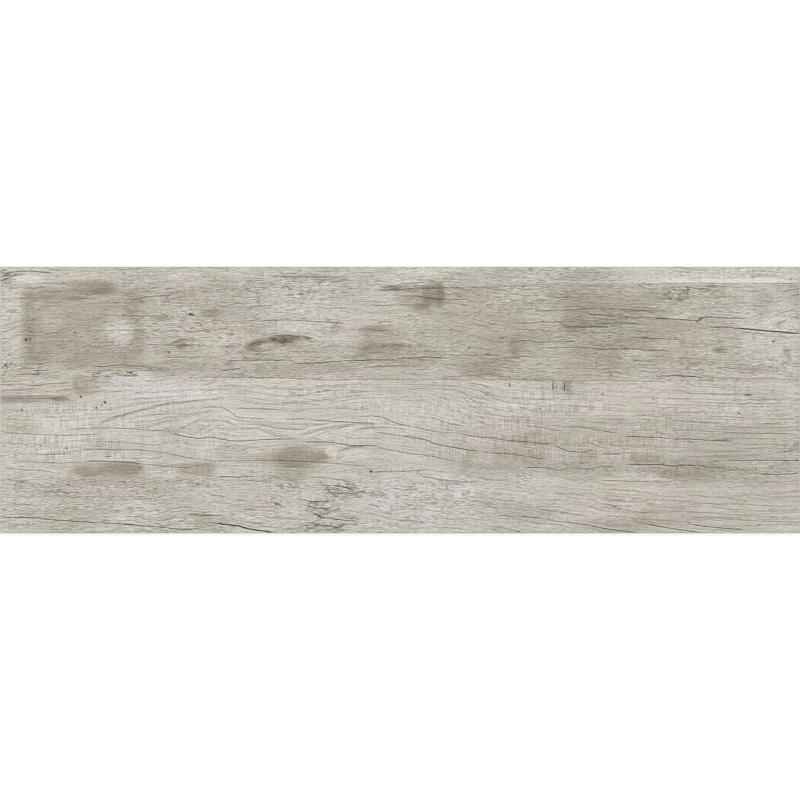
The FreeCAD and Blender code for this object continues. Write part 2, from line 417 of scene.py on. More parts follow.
# Checks of the bottom board
BOTTOM_CHECKS: dict[Line, tuple[Path, ...]] = {
    Line.RING: (
        ((905, 343), (950, 347), (1000, 351), (1040, 351.5)), ((900, 349), (940, 353), (985, 355.5)),
        ((905, 373), (950, 377), (1000, 381), (1030, 383)),
        ((1000, 366), (1060, 369), (1120, 374), (1190, 377)), ((1060, 361), (1120, 365), (1200, 369)),
        ((1080, 354), (1140, 358), (1200, 361)), ((1130, 343), (1160, 345), (1200, 346)),
        ((1040, 375), (1100, 379), (1136, 381.4)),
    ),
    Line.HAIR: (
        ((94, 363.6), (105, 362), (118, 363.6)),
        ((913, 333.6), (949, 335.8), (977, 341), (996, 344.4), (1028, 345.4)),
        ((1028, 342.2), (1050, 343.3), (1069, 346.5), (1089, 347)),
        ((900, 356), (917, 357), (934, 364), (951, 365.8)),
        ((900, 360.6), (921, 362.8), (939, 366), (971, 369.2), (995, 370)),
        ((969, 357.2), (992, 360.4), (1011, 361.5), (1035, 362.6)),
        ((1011, 355), (1037, 353), (1063, 355), (1085, 358.3)),
        ((1150, 363.4), (1180, 364.6), (1200, 365)), ((834, 340), (857, 341), (883, 344.4)),
        ((934, 369), (951, 380.8), (964, 385)), ((120, 345.4), (214, 345.4)),
        ((581, 357.2), (591, 360.4), (598, 363.6)), ((360, 363.6), (390, 365.8), (421, 367.9)),
        ((433, 321.9), (460, 323.6)), ((330, 348), (372, 352), (400, 351)),
        ((520, 366), (560, 372), (600, 380), (640, 383)),
        ((600, 349.7), (619, 349.7), (636, 354), (664, 356)), ((590, 366), (625, 362), (668, 369)),
    ),
    Line.FINE: (
        ((64, 338), (96, 338.4), (121, 339)), ((1089, 347), (1106, 349.7), (1124, 351.2)),
        ((1139, 381.9), (1157, 381.9), (1200, 383)),
        ((808, 363.6), (834, 367.9), (857, 371), (882, 374.4)),
        ((743, 372.2), (763, 374.4), (779, 375.4)), ((728, 389), (754, 391.5), (782, 398)),
        ((728, 358), (746, 362.6)), ((814, 377.6), (836, 381.9), (857, 384), (879, 387.2), (900, 391)),
        ((278, 372), (300, 374.4), (320, 373.4), (336, 373.9)), ((283, 369.6), (300, 371), (314, 372)),
        ((266, 381.9), (281, 381.4)), ((300, 385.4), (314, 384.8)), ((321, 396.6), (334, 396.9)),
        ((538, 335.8), (549, 336.9)), ((563, 335.8), (574, 339)), ((476, 368.8), (493, 370.5)),
        ((468, 381.9), (482, 380.8)), ((527, 387), (539, 386.8)), ((499, 394.7), (519, 395.8)),
        ((396, 352.9), (416, 354), (425, 358)), ((404, 343), (409, 347), (415, 348)),
        ((344, 359.6), (350, 357), (357, 358)), ((313, 342.2), (332, 343.3), (337, 344.6)),
        ((411, 327.6), (420, 329), (430, 330.6)),
        ((463, 315.4), (484, 316.5), (514, 320.4), (532, 324.4)),
    ),
    Line.OPEN: (
        ((779, 375.4), (801, 376), (814, 377.6)), ((896, 390.5), (913, 394), (928, 396), (957, 398.8)),
        ((771, 395.8), (784, 398)),
        ((964, 385), (984, 388.9), (994, 390.4), (1011, 393.2), (1033, 396.2), (1053, 398.8)),
        ((1033, 386), (1054, 389.4), (1071, 390.9), (1093, 393), (1119, 395)),
        ((4, 375.9), (32, 376), (60, 377.6), (86, 380.4), (111, 381.9), (146, 384)),
        ((146, 384), (182, 385.7), (214, 388.9), (236, 390.4), (268, 393.6), (300, 393.2)),
        ((481, 327.9), (489, 327.6), (496, 329)), ((499, 328.3), (512, 329.4), (523, 332.6), (531, 336)),
        ((491, 335), (496, 339), (501, 343), (507, 345.4)), ((504, 339.6), (516, 339.6), (537, 341)),
        ((556, 342.2), (573, 342.2)), ((446, 349), (461, 350.4), (465, 352.5), (482, 352.5)),
        ((482, 352.5), (495, 351.2), (502, 352)),
        ((458, 356), (463, 358.3), (471, 361.9), (480, 362.6), (494, 364.7)),
        ((489, 376.5), (510, 379.7), (527, 381.2), (540, 382.9)),
        ((455, 384), (469, 385), (480, 387.9), (493, 388.9), (507, 391.9)), ((453, 395.8), (466, 396.9)),
        ((551, 357.2), (561, 357.4), (568, 360.4), (573, 364.7)), ((411, 355.4), (418, 358), (425, 361)),
    ),
    Line.WIDE: (
        ((317, 382.6), (324, 385), (343, 387.2), (362, 389.4), (369, 392.6), (392, 396.2), (414, 398.6)),
        ((472, 370), (475, 373), (481, 375.6), (489, 377.6)),
    ),
}

# Broad soft rings of the middle board
BANDS = (
    Band(((146, 236), (176, 225.4), (210, 216), (240, 208), (270, 204), (300, 200.3), (336, 197)),
         0.38, 2.2),
    Band(((210, 244), (229, 238.5), (262, 227), (296, 220), (322, 216.5)), 0.28),
    Band(((259, 248), (285, 236.6), (311, 224), (321, 219)), 0.25),
    Band(((285, 253.5), (300, 246), (319, 234.8), (331, 225)), 0.30),
    Band(((300, 252), (322, 242.3), (336, 232)), 0.22),
    Band(((330, 225.4), (345, 234.8), (360, 242), (386, 244), (398, 247), (413, 253), (436, 256)),
         0.34),
    Band(((349, 229), (375, 234.8), (398, 236.6), (424, 240.4), (446, 243), (466, 238.5),
          (490, 236.4)), 0.25),
    Band(((446, 253.5), (469, 248), (487, 242), (517, 238.5), (540, 235), (566, 237)), 0.34, 2.2),
    Band(((532, 246), (552, 241), (572, 243)), 0.28, 3.0),
    Band(((352, 199), (375, 203), (398, 206.4), (424, 205.5), (450, 203), (480, 201), (505, 199)),
         0.28),
    Band(((360, 186), (397, 189.8), (424, 195), (450, 193.5), (500, 184)), 0.25),
    Band(((349, 212), (375, 213), (412, 214), (442, 216), (469, 213), (499, 211.5), (528, 207.6)),
         0.20),
    Band(((340, 178), (400, 181), (450, 184), (520, 178)), 0.22),
    Band(((200, 190), (250, 187), (330, 184)), 0.22),
    Band(((210, 199), (260, 195.5), (330, 192)), 0.20),
    Band(((150, 216), (200, 207), (250, 200)), 0.20),
    Band(((505, 280), (512, 274), (530, 270), (550, 270)), 0.25),
    Band(((506, 286), (516, 292), (540, 295)), 0.20),
    Band(((330, 275), (345, 268), (385, 271), (400, 277)), 0.22),
)

# Unprinted lines that only lead the grain
LEADS = (
    ((655, 175), (690, 195), (740, 209), (850, 215)),
    ((645, 192), (675, 216), (735, 232), (840, 236)),
    ((700, 178), (740, 190), (800, 198), (950, 203)),
    ((330, 236), (390, 244), (450, 247), (510, 242), (570, 233)),
    ((360, 186), (420, 190), (520, 192), (620, 186)),
    ((120, 205), (180, 196), (240, 190), (300, 182)),
    ((600, 340), (750, 352), (900, 368), (1050, 380), (1200, 392)),
    ((700, 332), (900, 336), (1050, 348), (1200, 360)),
    ((1000, 190), (1100, 193), (1200, 191)),
    ((960, 215), (1080, 222), (1200, 228)),
    ((0, 84), (30, 70), (60, 66)),
)

# Knots: centre, reach of the bulge and push
KNOTS = tuple(Knot(*row) for row in (
    ((386, 117), (34, 16), 6.0), ((433, 110), (60, 16), 7.0), ((502, 91), (20, 9), 3.0),
    ((30, 150), (26, 16), 5.0), ((270, 116), (20, 9), 3.0), ((448, 283), (70, 22), 6.0),
    ((1172, 84), (26, 16), 5.0), ((1181, 129), (20, 14), 4.0), ((912, 262), (38, 16), 4.0),
    ((8, 12), (26, 16), 5.0), ((315, 345), (30, 9), 3.0), ((540, 345), (26, 8), 3.0),
))

# Worm and nail holes and short dashes: centre and reach
HOLES = tuple(Hole(*row) for row in (
    ((39, 109), (1.8, 1.7)), ((52.5, 106.5), (1.3, 0.8)), ((112, 99), (1.6, 1.1)),
    ((286, 71.5), (3.0, 1.8)), ((290, 74), (1.8, 1.0)), ((253, 128.4), (1.6, 1.1)),
    ((121, 195), (1.8, 1.5)), ((32.5, 215), (1.4, 1.2)), ((49, 222.4), (1.0, 0.8)),
    ((157.5, 203.2), (1.9, 1.7)), ((144.6, 212), (1.4, 1.2)), ((99.6, 272.4), (1.4, 1.1)),
    ((60.6, 268.4), (1.0, 0.8)), ((102.4, 326.8), (1.4, 1.2)), ((22.5, 327.6), (1.1, 0.9)),
    ((753, 107.1), (1.9, 0.7)), ((704.5, 121.9), (1.9, 0.7)), ((721, 156.2), (1.1, 0.8)),
    ((1186, 19.5), (1.3, 1.1)), ((556.5, 307.5), (2.1, 2.0)), ((633, 383.4), (1.2, 0.9)),
    ((1122, 192.4), (6.6, 0.9)), ((1108, 219.6), (2.4, 0.8)), ((1159, 188), (1.6, 0.7)),
    ((1160, 112.5), (1.6, 1.4)), ((163, 284.4), (4.2, 0.55)), ((764.5, 177.4), (0.8, 3.6)),
    ((829.5, 179), (0.8, 6.6)), ((846.5, 181), (0.7, 6.6)), ((853.5, 180), (0.6, 5.6)),
    ((477.5, 188.1), (1.3, 1.0)), ((543.2, 210.6), (1.0, 1.2)), ((811, 212.8), (1.1, 1.0)),
    ((904, 190.9), (0.8, 1.8)), ((980, 198.2), (1.1, 0.9)), ((1176, 278), (1.2, 1.0)),
    ((348, 100.5), (4.0, 0.6)),
))

# Soft patches: centre, reach, amount, corners, turn and fade
PATCH_ROWS: dict[Wash, tuple[tuple, ...]] = {
    Wash.BROWN: (
        ((125, 92), (91, 62), 0.35, 7, 0, 0.26), ((140, 31), (36, 12), 0.62, 3),
        ((72, 42), (42, 10), 0.3, 3), ((157, 140), (56, 13), 0.12, 4), ((178, 97), (25, 24), -0.42, 2.6),
        ((570, 112), (40, 26), 0.26), ((651, 42), (18, 20), 0.65, 2.6, 0, 0.7),
        ((631, 60), (16, 6), 0.4), ((315, 70), (17, 9), 0.4), ((861, 84), (20, 18), 0.2),
        ((720, 155), (32, 12), 0.45), ((345, 145), (10, 4), 0.6), ((1040, 147), (8, 4), 0.45),
        ((1148, 152), (28, 5), 0.45), ((460, 152), (90, 10), 0.35), ((52, 199), (62, 6), 0.5, 3),
        ((128, 178), (19, 15), 0.55, 4), ((162, 303.5), (55, 12), 0.6, 4, 0, 0.4),
        ((295, 303), (29, 10.5), 0.72, 4), ((432, 287), (74, 17), 0.46, 1.0, 0, 0.35),
        ((453, 285.5), (43, 17.5), 0.5, 2, 0, 0.25), ((967, 287), (28, 7), 0.5),
        ((1005, 312), (18, 9), 0.45),
    ),
    Wash.OLIVE: (
        ((41, 92), (9, 60), 0.34, 5), ((200, 60), (14, 28), 0.22, 4), ((208, 113), (9, 22), 0.2, 4),
        ((58, 128), (19, 17), 0.45), ((112, 145), (26, 8), 0.28), ((386, 118), (18, 10), 0.5),
        ((430, 110), (28, 9), 0.7), ((283, 124), (22, 8), 0.3), ((772, 120), (9, 15), 0.55),
        ((859, 84), (17, 17), 0.32), ((912, 85), (34, 7), 0.45), ((1079, 125), (11, 6), 0.6),
        ((880, 110), (150, 60), 0.22, 3), ((24, 240), (24, 16), 0.28, 3), ((802, 252), (12, 6), 0.45),
        ((1042, 314), (30, 11), 0.3), ((700, 292), (7, 14), 0.4), ((812, 292), (26, 12), 0.25),
        ((420, 320), (60, 8), 0.25),
    ),
    Wash.PINK: (
        ((330, 110), (60, 40), 0.3), ((50, 180), (70, 18), 0.35, 4), ((885, 285), (18, 9), 0.5),
        ((240, 178), (90, 20), 0.35), ((967, 205), (90, 30), 0.55), ((780, 258), (70, 36), 0.55),
        ((930, 262), (80, 22), 0.55), ((161, 329), (55, 14), 0.75, 4), ((967, 360), (95, 42), 0.5),
    ),
    Wash.PALE: (
        ((79, 80), (16, 19), 0.45, 2, 35), ((175, 91), (17, 12), 0.44, 3),
        ((186, 104), (14, 13), 0.5, 2.6), ((172, 72), (14, 7), 0.42, 2, -10), ((42, 18.5), (24, 6), 0.9),
        ((394, 121), (8, 3.5), 0.55), ((459, 114), (8, 4), 0.45), ((478, 112), (10, 9), 0.35),
        ((1155, 100), (48, 66), 0.48, 3), ((510, 56), (140, 40), 0.4), ((1088, 22), (104, 5), 1.1, 3),
        ((14, 84), (20, 58), 0.5, 4), ((428, 94), (36, 6), 0.5), ((640, 5), (50, 9), 0.7),
        ((523, 106), (26, 10), 0.5), ((497, 277), (12, 8), 0.75), ((534, 282), (22, 9), 0.45),
        ((247, 287), (11, 7), 0.15), ((221, 287), (9, 6), 0.4), ((110, 262), (18, 9), 0.35),
        ((110, 230), (80, 26), 0.16), ((440, 225), (160, 46), 0.18, 3), ((262, 186), (72, 16), 0.45, 3),
        ((600, 345), (90, 34), 0.32),
    ),
    Wash.COOL: (
        ((84, 82), (36, 34), 0.3), ((178, 95), (22, 24), 0.4), ((12, 56), (24, 12), 0.45),
        ((1160, 90), (50, 70), 0.45, 3), ((450, 60), (140, 40), 0.2), ((1000, 10), (200, 12), 0.15, 3),
        ((240, 178), (90, 22), 0.55), ((1100, 190), (90, 18), 0.45), ((640, 190), (60, 22), 0.4),
        ((60, 280), (80, 30), 0.45), ((600, 352), (110, 54), 0.55), ((290, 356), (40, 16), 0.4),
    ),
    Wash.SHADE: (
        ((118, 88), (84, 54), 0.05, 5), ((114, 48), (17, 4.5), 0.45), ((146, 33), (32, 9), 0.13),
        ((68, 46), (12, 3), 0.3), ((41, 109), (5, 3.5), 0.35), ((6, 16), (12, 9), 0.25),
        ((379, 119), (12, 7), 0.42, 2, -20), ((389, 114.5), (16, 3), 0.3, 2, -8),
        ((424, 109.5), (20, 6.5), 0.5), ((428, 111), (10, 4), 0.16), ((452, 107.5), (18, 3), 0.35),
        ((504, 92), (9, 5), 0.16), ((588, 118), (20, 5), 0.4), ((556, 124), (24, 9), 0.24, 2, -18),
        ((560, 93), (20, 5), 0.32), ((652, 40), (16, 17), 0.24, 2.6), ((662, 44), (5, 19), 0.22, 4),
        ((612, 32), (34, 6), 0.35), ((588, 33), (17, 4.5), 0.4), ((315, 70), (15, 6), 0.16),
        ((241, 77), (16, 5.5), 0.42), ((270, 116), (9, 7), 0.55), ((1170, 86), (9, 5), 0.3),
        ((1181, 129), (5, 9), 0.55, 2, -25), ((1078, 126), (9, 4), 0.4),
        ((860, 100), (190, 66), 0.13, 3), ((900, 62), (70, 24), 0.1), ((492, 20), (32, 3), 0.3),
        ((350, 45), (120, 18), 0.09, 3), ((455, 14), (50, 2.6), 0.35), ((250, 150), (60, 8), 0.18),
        ((770, 12), (150, 12), 0.18, 3), ((940, 266), (300, 46), 0.15, 4), ((860, 268), (90, 26), 0.06),
        ((620, 50), (27, 17), 0.3), ((874, 307), (58, 17), 0.24), ((616, 134), (50, 19), 0.22),
        ((324, 384), (44, 13), 0.24), ((1006, 373), (54, 18), 0.22), ((342, 278), (28, 12), 0.22),
        ((811, 146), (36, 18), -0.22), ((388, 132), (32, 11), 0.22), ((824, 76), (48, 20), -0.2),
        ((732, 308), (58, 16), 0.2), ((201, 367), (44, 18), -0.2), ((447, 305), (44, 8), 0.24),
        ((1119, 222), (44, 18), -0.18), ((721, 37), (42, 16), 0.18), ((352, 123), (22, 9), 0.18),
        ((793, 372), (42, 16), 0.16), ((1174, 331), (34, 16), 0.16), ((1122, 294), (46, 7), -0.34),
        ((540, 139), (20, 9), 0.28), ((130, 307), (26, 8), 0.26), ((954, 135), (26, 12), -0.26),
        ((636, 67), (15, 7), 0.28), ((1121, 154), (20, 8), 0.26), ((246, 161), (20, 6), 0.28),
        ((696, 337), (20, 10), -0.26), ((1132, 324), (20, 8), 0.24), ((1149, 103), (16, 8), -0.26),
        ((67, 313), (32, 13), -0.16), ((340, 187), (36, 13), 0.16), ((366, 164), (36, 6), 0.16),
        ((280, 19), (36, 13), -0.15), ((535, 22), (34, 13), 0.15), ((456, 264), (36, 9), 0.16),
        ((883, 13), (38, 10), 0.15), ((1072, 192), (36, 13), -0.14), ((166, 271), (32, 13), 0.14),
        ((504, 326), (18, 6), -0.22), ((881, 283), (17, 7), 0.3), ((64, 163), (22, 6), 0.24),
        ((1028, 76), (28, 8), -0.27), ((984, 44), (22, 9), 0.25), ((496, 361), (14, 5), -0.22),
        ((214, 49), (18, 7), 0.24), ((256, 250), (17, 8), 0.22), ((1143, 54), (17, 22), 0.22),
        ((360, 379), (18, 8), -0.2), ((396, 110), (14, 5), 0.26), ((246, 127), (15, 7), 0.22),
        ((999, 117), (22, 9), -0.23), ((434, 314), (34, 7), 0.26), ((248, 301), (22, 9), 0.22),
        ((165, 322), (90, 9), 0.15), ((304, 319), (30, 8), 0.14), ((781, 275), (42, 28), 0.14),
        ((905, 234), (36, 13), 0.14), ((832, 121), (20, 9), -0.22), ((6, 120), (14, 9), 0.22),
        ((150, 169), (18, 6), 0.22), ((50, 199.5), (52, 3.5), 0.06, 3), ((90, 198.5), (15, 3.2), 0.45),
        ((122, 178), (12, 14), 0.16, 3), ((182, 303), (32, 10), 0.34, 3.5), ((300, 303), (22, 9), 0.1),
        ((452, 286), (38, 14), 0.14, 2, 0, 0.6), ((149, 260), (5, 27), 0.14, 4),
        ((213, 268), (2.6, 22), 0.14, 4), ((241, 270), (2.4, 18), 0.14, 4, 12),
        ((264, 271), (2.4, 16), 0.14, 4, 10), ((282, 268), (2.4, 15), 0.12, 4, 14),
        ((50, 246), (5, 12), 0.12, 3), ((802, 252), (11, 4), 0.1), ((1197, 270), (7, 11), 0.2),
        ((1090, 260.5), (9, 3), 0.2), ((742, 282), (2.5, 18), 0.14, 4), ((1080, 303), (130, 20), 0.26),
        ((850, 181), (7, 11), 0.4, 4), ((150, 352), (160, 44), 0.08, 3), ((920, 388), (60, 12), 0.2),
    ),
    Wash.SPLITS: (
        ((168, 161), (36, 6), 0.8, 3), ((1016, 40), (24, 15), 1.0), ((1066, 32), (18, 7), 0.6),
        ((965, 27), (8, 5), 0.8), ((1132, 12), (12, 8), 0.7), ((516, 338), (34, 16), 1.0),
        ((564, 339), (14, 9), 0.8), ((482, 362), (32, 14), 0.9), ((518, 382), (26, 8), 0.75),
        ((484, 391), (34, 7), 0.9), ((436, 328), (26, 6), 0.8), ((300, 326), (24, 6), 0.6),
        ((618, 73), (9, 9), 0.5), ((360, 75), (150, 60), 0.24, 4), ((480, 32), (70, 18), 0.45),
        ((1160, 150), (34, 14), 0.5), ((24, 153), (26, 11), 0.25), ((12, 14), (18, 12), 0.2),
        ((690, 322), (40, 8), 0.4), ((640, 350), (80, 34), 0.45), ((120, 336), (60, 12), 0.25),
        ((1040, 170), (30, 8), 0.35),
    ),
    Wash.SAWN: (
        ((124, 180), (18, 17), 0.6, 6), ((600, 246), (620, 74), 0.5, 8), ((90, 250), (120, 50), 0.55, 4),
        ((800, 235), (180, 60), 0.32, 4), ((716, 208), (44, 34), -0.5),
    ),
    Wash.RINGS: (
        ((600, 240), (640, 72), 0.75, 8), ((714, 208), (42, 34), -0.6), ((1010, 362), (280, 46), 0.9, 6),
        ((560, 95), (700, 80), 0.1, 8),
    ),
}

PATCHES = {wash: [Patch(*row) for row in rows] for wash, rows in PATCH_ROWS.items()}
CHECKS = tuple(
    Check(line, path)
    for table in (SEAM_LINES, UPPER_CHECKS, MIDDLE_CHECKS, RING_LINES, BOTTOM_CHECKS)
    for line, paths in table.items()
    for path in paths
)


def smooth_step(low: float, high: float, value: Array) -> Array:
    """The cubic that rises from 0 at low to 1 at high, flat at both ends."""
    share = np.clip((value - low) / (high - low), 0.0, 1.0)
    return share * share * (3.0 - 2.0 * share)


def lattice_noise(along: Array, down: Array, cell: Point, seed: int) -> Array:
    """Smooth random heights: a lattice of seeded values, blended by the cubic step in each cell.

    Args:
        along: Places along, in millimetres.
        down: Places down, in millimetres, of a shape that goes with along.
        cell: The lattice's spacing along and down.
        seed: Names the draw.

    Returns:
        Values from -1 to 1 at the places.
    """
    across = along / cell[0]
    below = down / cell[1]
    column = np.floor(across).astype(int)
    row = np.floor(below).astype(int)
    size = (int(column.max() - column.min()) + 2, int(row.max() - row.min()) + 2)
    values = np.random.default_rng(seed).uniform(-1.0, 1.0, size)
    blend_a = smooth_step(0.0, 1.0, across - column)
    blend_d = smooth_step(0.0, 1.0, below - row)
    column = column - column.min()
    row = row - row.min()
    left = values[column, row] * (1 - blend_d) + values[column, row + 1] * blend_d
    right = values[column + 1, row] * (1 - blend_d) + values[column + 1, row + 1] * blend_d
    return left * (1 - blend_a) + right * blend_a


@dataclass(frozen=True)
class PlankSizes:
    """The plank's sizes, in millimetres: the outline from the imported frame, the rest as pressed.

    Attributes:
        length: Along X.
        width: Along Y.
        thickness: From the bed plane to the face.
        bevel: Run and drop of the face arris.
        key: Side of a back key at its mouth.
        key_depth: Depth of the keys.
        rib: Width of the ribs between keys.
        rim: Least width of the rim round the keys.
        draft: Lean of the keys' walls, in degrees.
    """

    length: float
    width: float
    thickness: float
    bevel: float = 0.8
    key: float = 39.0
    key_depth: float = 0.7
    rib: float = 3.0
    rim: float = 10.0
    draft: float = 30.0

    @classmethod
    def from_frame(cls) -> "PlankSizes":
        """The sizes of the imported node."""
        low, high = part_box(NODE)
        length, width, thickness = ((h - l) / MM for l, h in zip(low, high))
        return cls(round(length, 3), round(width, 3), round(thickness, 3))

    def key_lines(self, span: float) -> Array:
        """Where the keys' mouths and floors begin and end along one side of the back.

        As many keys as the least rim leaves room for, at one pitch, centred. Each gives four
        lines: mouth, floor, floor, mouth.

        Args:
            span: The tile's size that way.

        Returns:
            The lines' places from the middle, rising, four for each key.
        """
        pitch = self.key + self.rib
        count = math.floor((span - 2 * self.rim + self.rib) / pitch)
        first = -(count * pitch - self.rib) / 2
        run = self.key_depth * math.tan(math.radians(self.draft))
        mouths = first + pitch * np.arange(count)[:, None]
        return (mouths + np.array([0.0, run, self.key - run, self.key])).ravel()


@dataclass(frozen=True)
class Relief:
    """The moulded relief, in millimetres.

    Attributes:
        check: Depth of a check that is 2 mm wide or wider.
        lip: How far past its half width a check's slope begins.
        ring: Depth of the wave that the growth rings make.
        ring_gap: Distance from wave to wave.
        fibre: Half the depth of the fine furrows.
        fibre_cell: Their spacing along and across the grain.
        coarse: Half the depth of the broad furrows.
        coarse_cell: Their spacing.
        margin: Distance from the bevel over which all of it dies out.
    """

    check: float = 0.30
    lip: float = 0.6
    ring: float = 0.05
    ring_gap: float = 9.0
    fibre: float = 0.045
    fibre_cell: Point = (26.0, 2.2)
    coarse: float = 0.04
    coarse_cell: Point = (70.0, 7.0)
    margin: float = 3.0


class FacePrint:
    """The printed face worked out on a grid of places: grain, checks, holes and washes.

    Attributes:
        BLEED: How far past the edges the grain is followed, in millimetres.
        GUIDE_REACH: How far to its side a line leads the grain.
        GUIDE_ENDS: How far past its ends it does.
        GUIDE_BASE: Weight of level grain against the lines' slopes.
        STEEPEST: Slope at which a line's lead is held.
        SMOOTHING: Columns that the slopes are smoothed over.
        RISES: Least and greatest rise of the level, as shares of an even one.
        NO_CHECK: Distance given where no check is near.
        NO_HOLE: Distance given where no hole is near.
        END_WIDTH: Share of its width and ink that a check has at its ends.
        SWELL_RUN: How far from its ends a long check has its full width.
        SWELL_SHARE: A short check has it one part of this many from its ends.
        OVERRUN: Share of its length that a check is followed past its ends.
        FADE_INWARD: Share of a patch's soft edge that lies inside its outline.
        FADE_OUTWARD: The share outside.
        BAND_BELL: Height of a band's bell.
        BAND_FLANK: Height of the bell taken off it, which leaves the pale flanks.
        FLANK_SPREAD: How much wider that bell is, squared.
        BAND_ENDS: Where a band begins and ends to fade, measured past its end.
    """

    BLEED = 60.0
    GUIDE_REACH = 9.0
    GUIDE_ENDS = 30.0
    GUIDE_BASE = 0.05
    STEEPEST = 0.6
    SMOOTHING = 9
    RISES = (0.6, 1.7)
    NO_CHECK = 40.0
    NO_HOLE = 60.0
    END_WIDTH = 0.4
    SWELL_RUN = 8.0
    SWELL_SHARE = 10.0
    OVERRUN = 0.02
    FADE_INWARD = 0.6
    FADE_OUTWARD = 0.4
    BAND_BELL = 2.2
    BAND_FLANK = 0.8
    FLANK_SPREAD = 5.0
    BAND_ENDS = (-12.0, 5.0)

    def __init__(self, sizes: PlankSizes, columns: int, rows: int) -> None:
        """Lays the grid over the face, inside the bevel.

        Args:
            sizes: The plank's sizes.
            columns: Cells along.
            rows: Cells down.
        """
        bevel = sizes.bevel
        self.sizes = sizes
        self.column_at = np.linspace(bevel, sizes.length - bevel, columns + 1)
        self.row_at = np.linspace(sizes.width - bevel, bevel, rows + 1)
        self.along, self.down = np.meshgrid(self.column_at, self.row_at, indexing="ij")
        self.seams = [np.interp(self.along, *zip(*board.seam)) for board in BOARDS]

    def board_number(self) -> Array:
        """Which board each place lies on, counted from the far edge."""
        return sum((self.down > seam).astype(float) for seam in self.seams[:-1])

    def ring_gap(self) -> Array:
        """The distance between growth rings of the board under each place."""
        gaps = np.array([board.ring_gap for board in BOARDS])
        return gaps[self.board_number().astype(int)]

    def tone(self) -> tuple[Array, Array]:
        """The boards' grey level and warmth, run into each other over 2 mm at the seams."""
        stops = np.array([0.0, self.sizes.length / 2, self.sizes.length])
        levels = [
            np.stack([np.interp(self.along, stops, board.tone),
                      np.interp(self.along, stops, board.warmth)])
            for board in BOARDS
        ]
        mixed = levels[0]
        for seam, level in zip(self.seams, levels[1:]):
            share = smooth_step(-1.0, 1.0, self.down - seam)
            mixed = mixed * (1 - share) + level * share
        return mixed[0], mixed[1]

    def grain(self) -> tuple[Array, Array]:
        """The grain's level across the fibre, and the fibre's slope.

        The fibre's slope is the mean of the slopes of the checks and leads close by, each
        weighed by a bell curve of its distance. The level is carried from column to column
        down that slope, so that lines of one level run beside the checks. Each knot then
        pushes the levels apart by a bell along and down, so the grain runs round it.

        Returns:
            Levels in millimetres and slopes, for every place of the grid.
        """
        bleed = self.BLEED
        rows = np.linspace(-bleed, self.sizes.width + bleed, 2 * self.row_at.size)
        slope_sum = np.zeros((self.column_at.size, rows.size))
        weight_sum = np.full_like(slope_sum, self.GUIDE_BASE)
        for path in [check.path for check in CHECKS] + list(LEADS):
            places, levels = np.array(path).T
            line = np.interp(self.column_at, places, levels)
            slope = np.gradient(line, self.column_at).clip(-self.STEEPEST, self.STEEPEST)
            near = np.clip(1 - np.maximum(places[0] - self.column_at, self.column_at - places[-1])
                           / self.GUIDE_ENDS, 0.0, 1.0)
            weight = near[:, None] * np.exp(-(((rows - line[:, None]) / self.GUIDE_REACH) ** 2))
            slope_sum += weight * slope[:, None]
            weight_sum += weight
        slopes = slope_sum / weight_sum
        kernel = np.hanning(self.SMOOTHING)
        kernel = kernel / kernel.sum()
        slopes = np.apply_along_axis(np.convolve, 0, slopes, kernel, "same")
        middle = self.column_at.size // 2
        rightward = self._carried(rows, slopes[middle:])
        leftward = self._carried(rows, -slopes[middle::-1])
        field = np.concatenate([leftward[:0:-1], rightward])
        for knot in KNOTS:
            away = (self.along - knot.at[0]) / knot.reach[0]
            below = (self.down - knot.at[1]) / knot.reach[1]
            field -= knot.push * np.tanh(2 * below) * np.exp(-away**2 - below**2)
        at_rows = [np.interp(self.row_at, rows, slope) for slope in slopes]
        return field, np.array(at_rows)

    def _carried(self, rows: Array, slopes: Array) -> Array:
        """Carries the levels from column to column down the slopes.

        Where lines draw apart or crowd, the level's rise from row to row is held, so that no
        figure is drawn out into blots.

        Args:
            rows: The rows the slopes are known at.
            slopes: One row of slopes for each column, the first where the levels start even.

        Returns:
            The levels at the grid's own rows, column by column.
        """
        step = self.column_at[1] - self.column_at[0]
        gap = rows[1] - rows[0]
        middle = rows.size // 2
        level = rows.copy()
        carried = [np.interp(self.row_at, rows, level)]
        for slope in slopes[1:]:
            moved = np.interp(rows - slope * step, rows, level)
            rise = np.clip(np.diff(moved) / gap, *self.RISES)
            level = np.concatenate([[0.0], np.cumsum(rise)]) * gap
            level += moved[middle] - level[middle]
            carried.append(np.interp(self.row_at, rows, level))
        return np.array(carried)

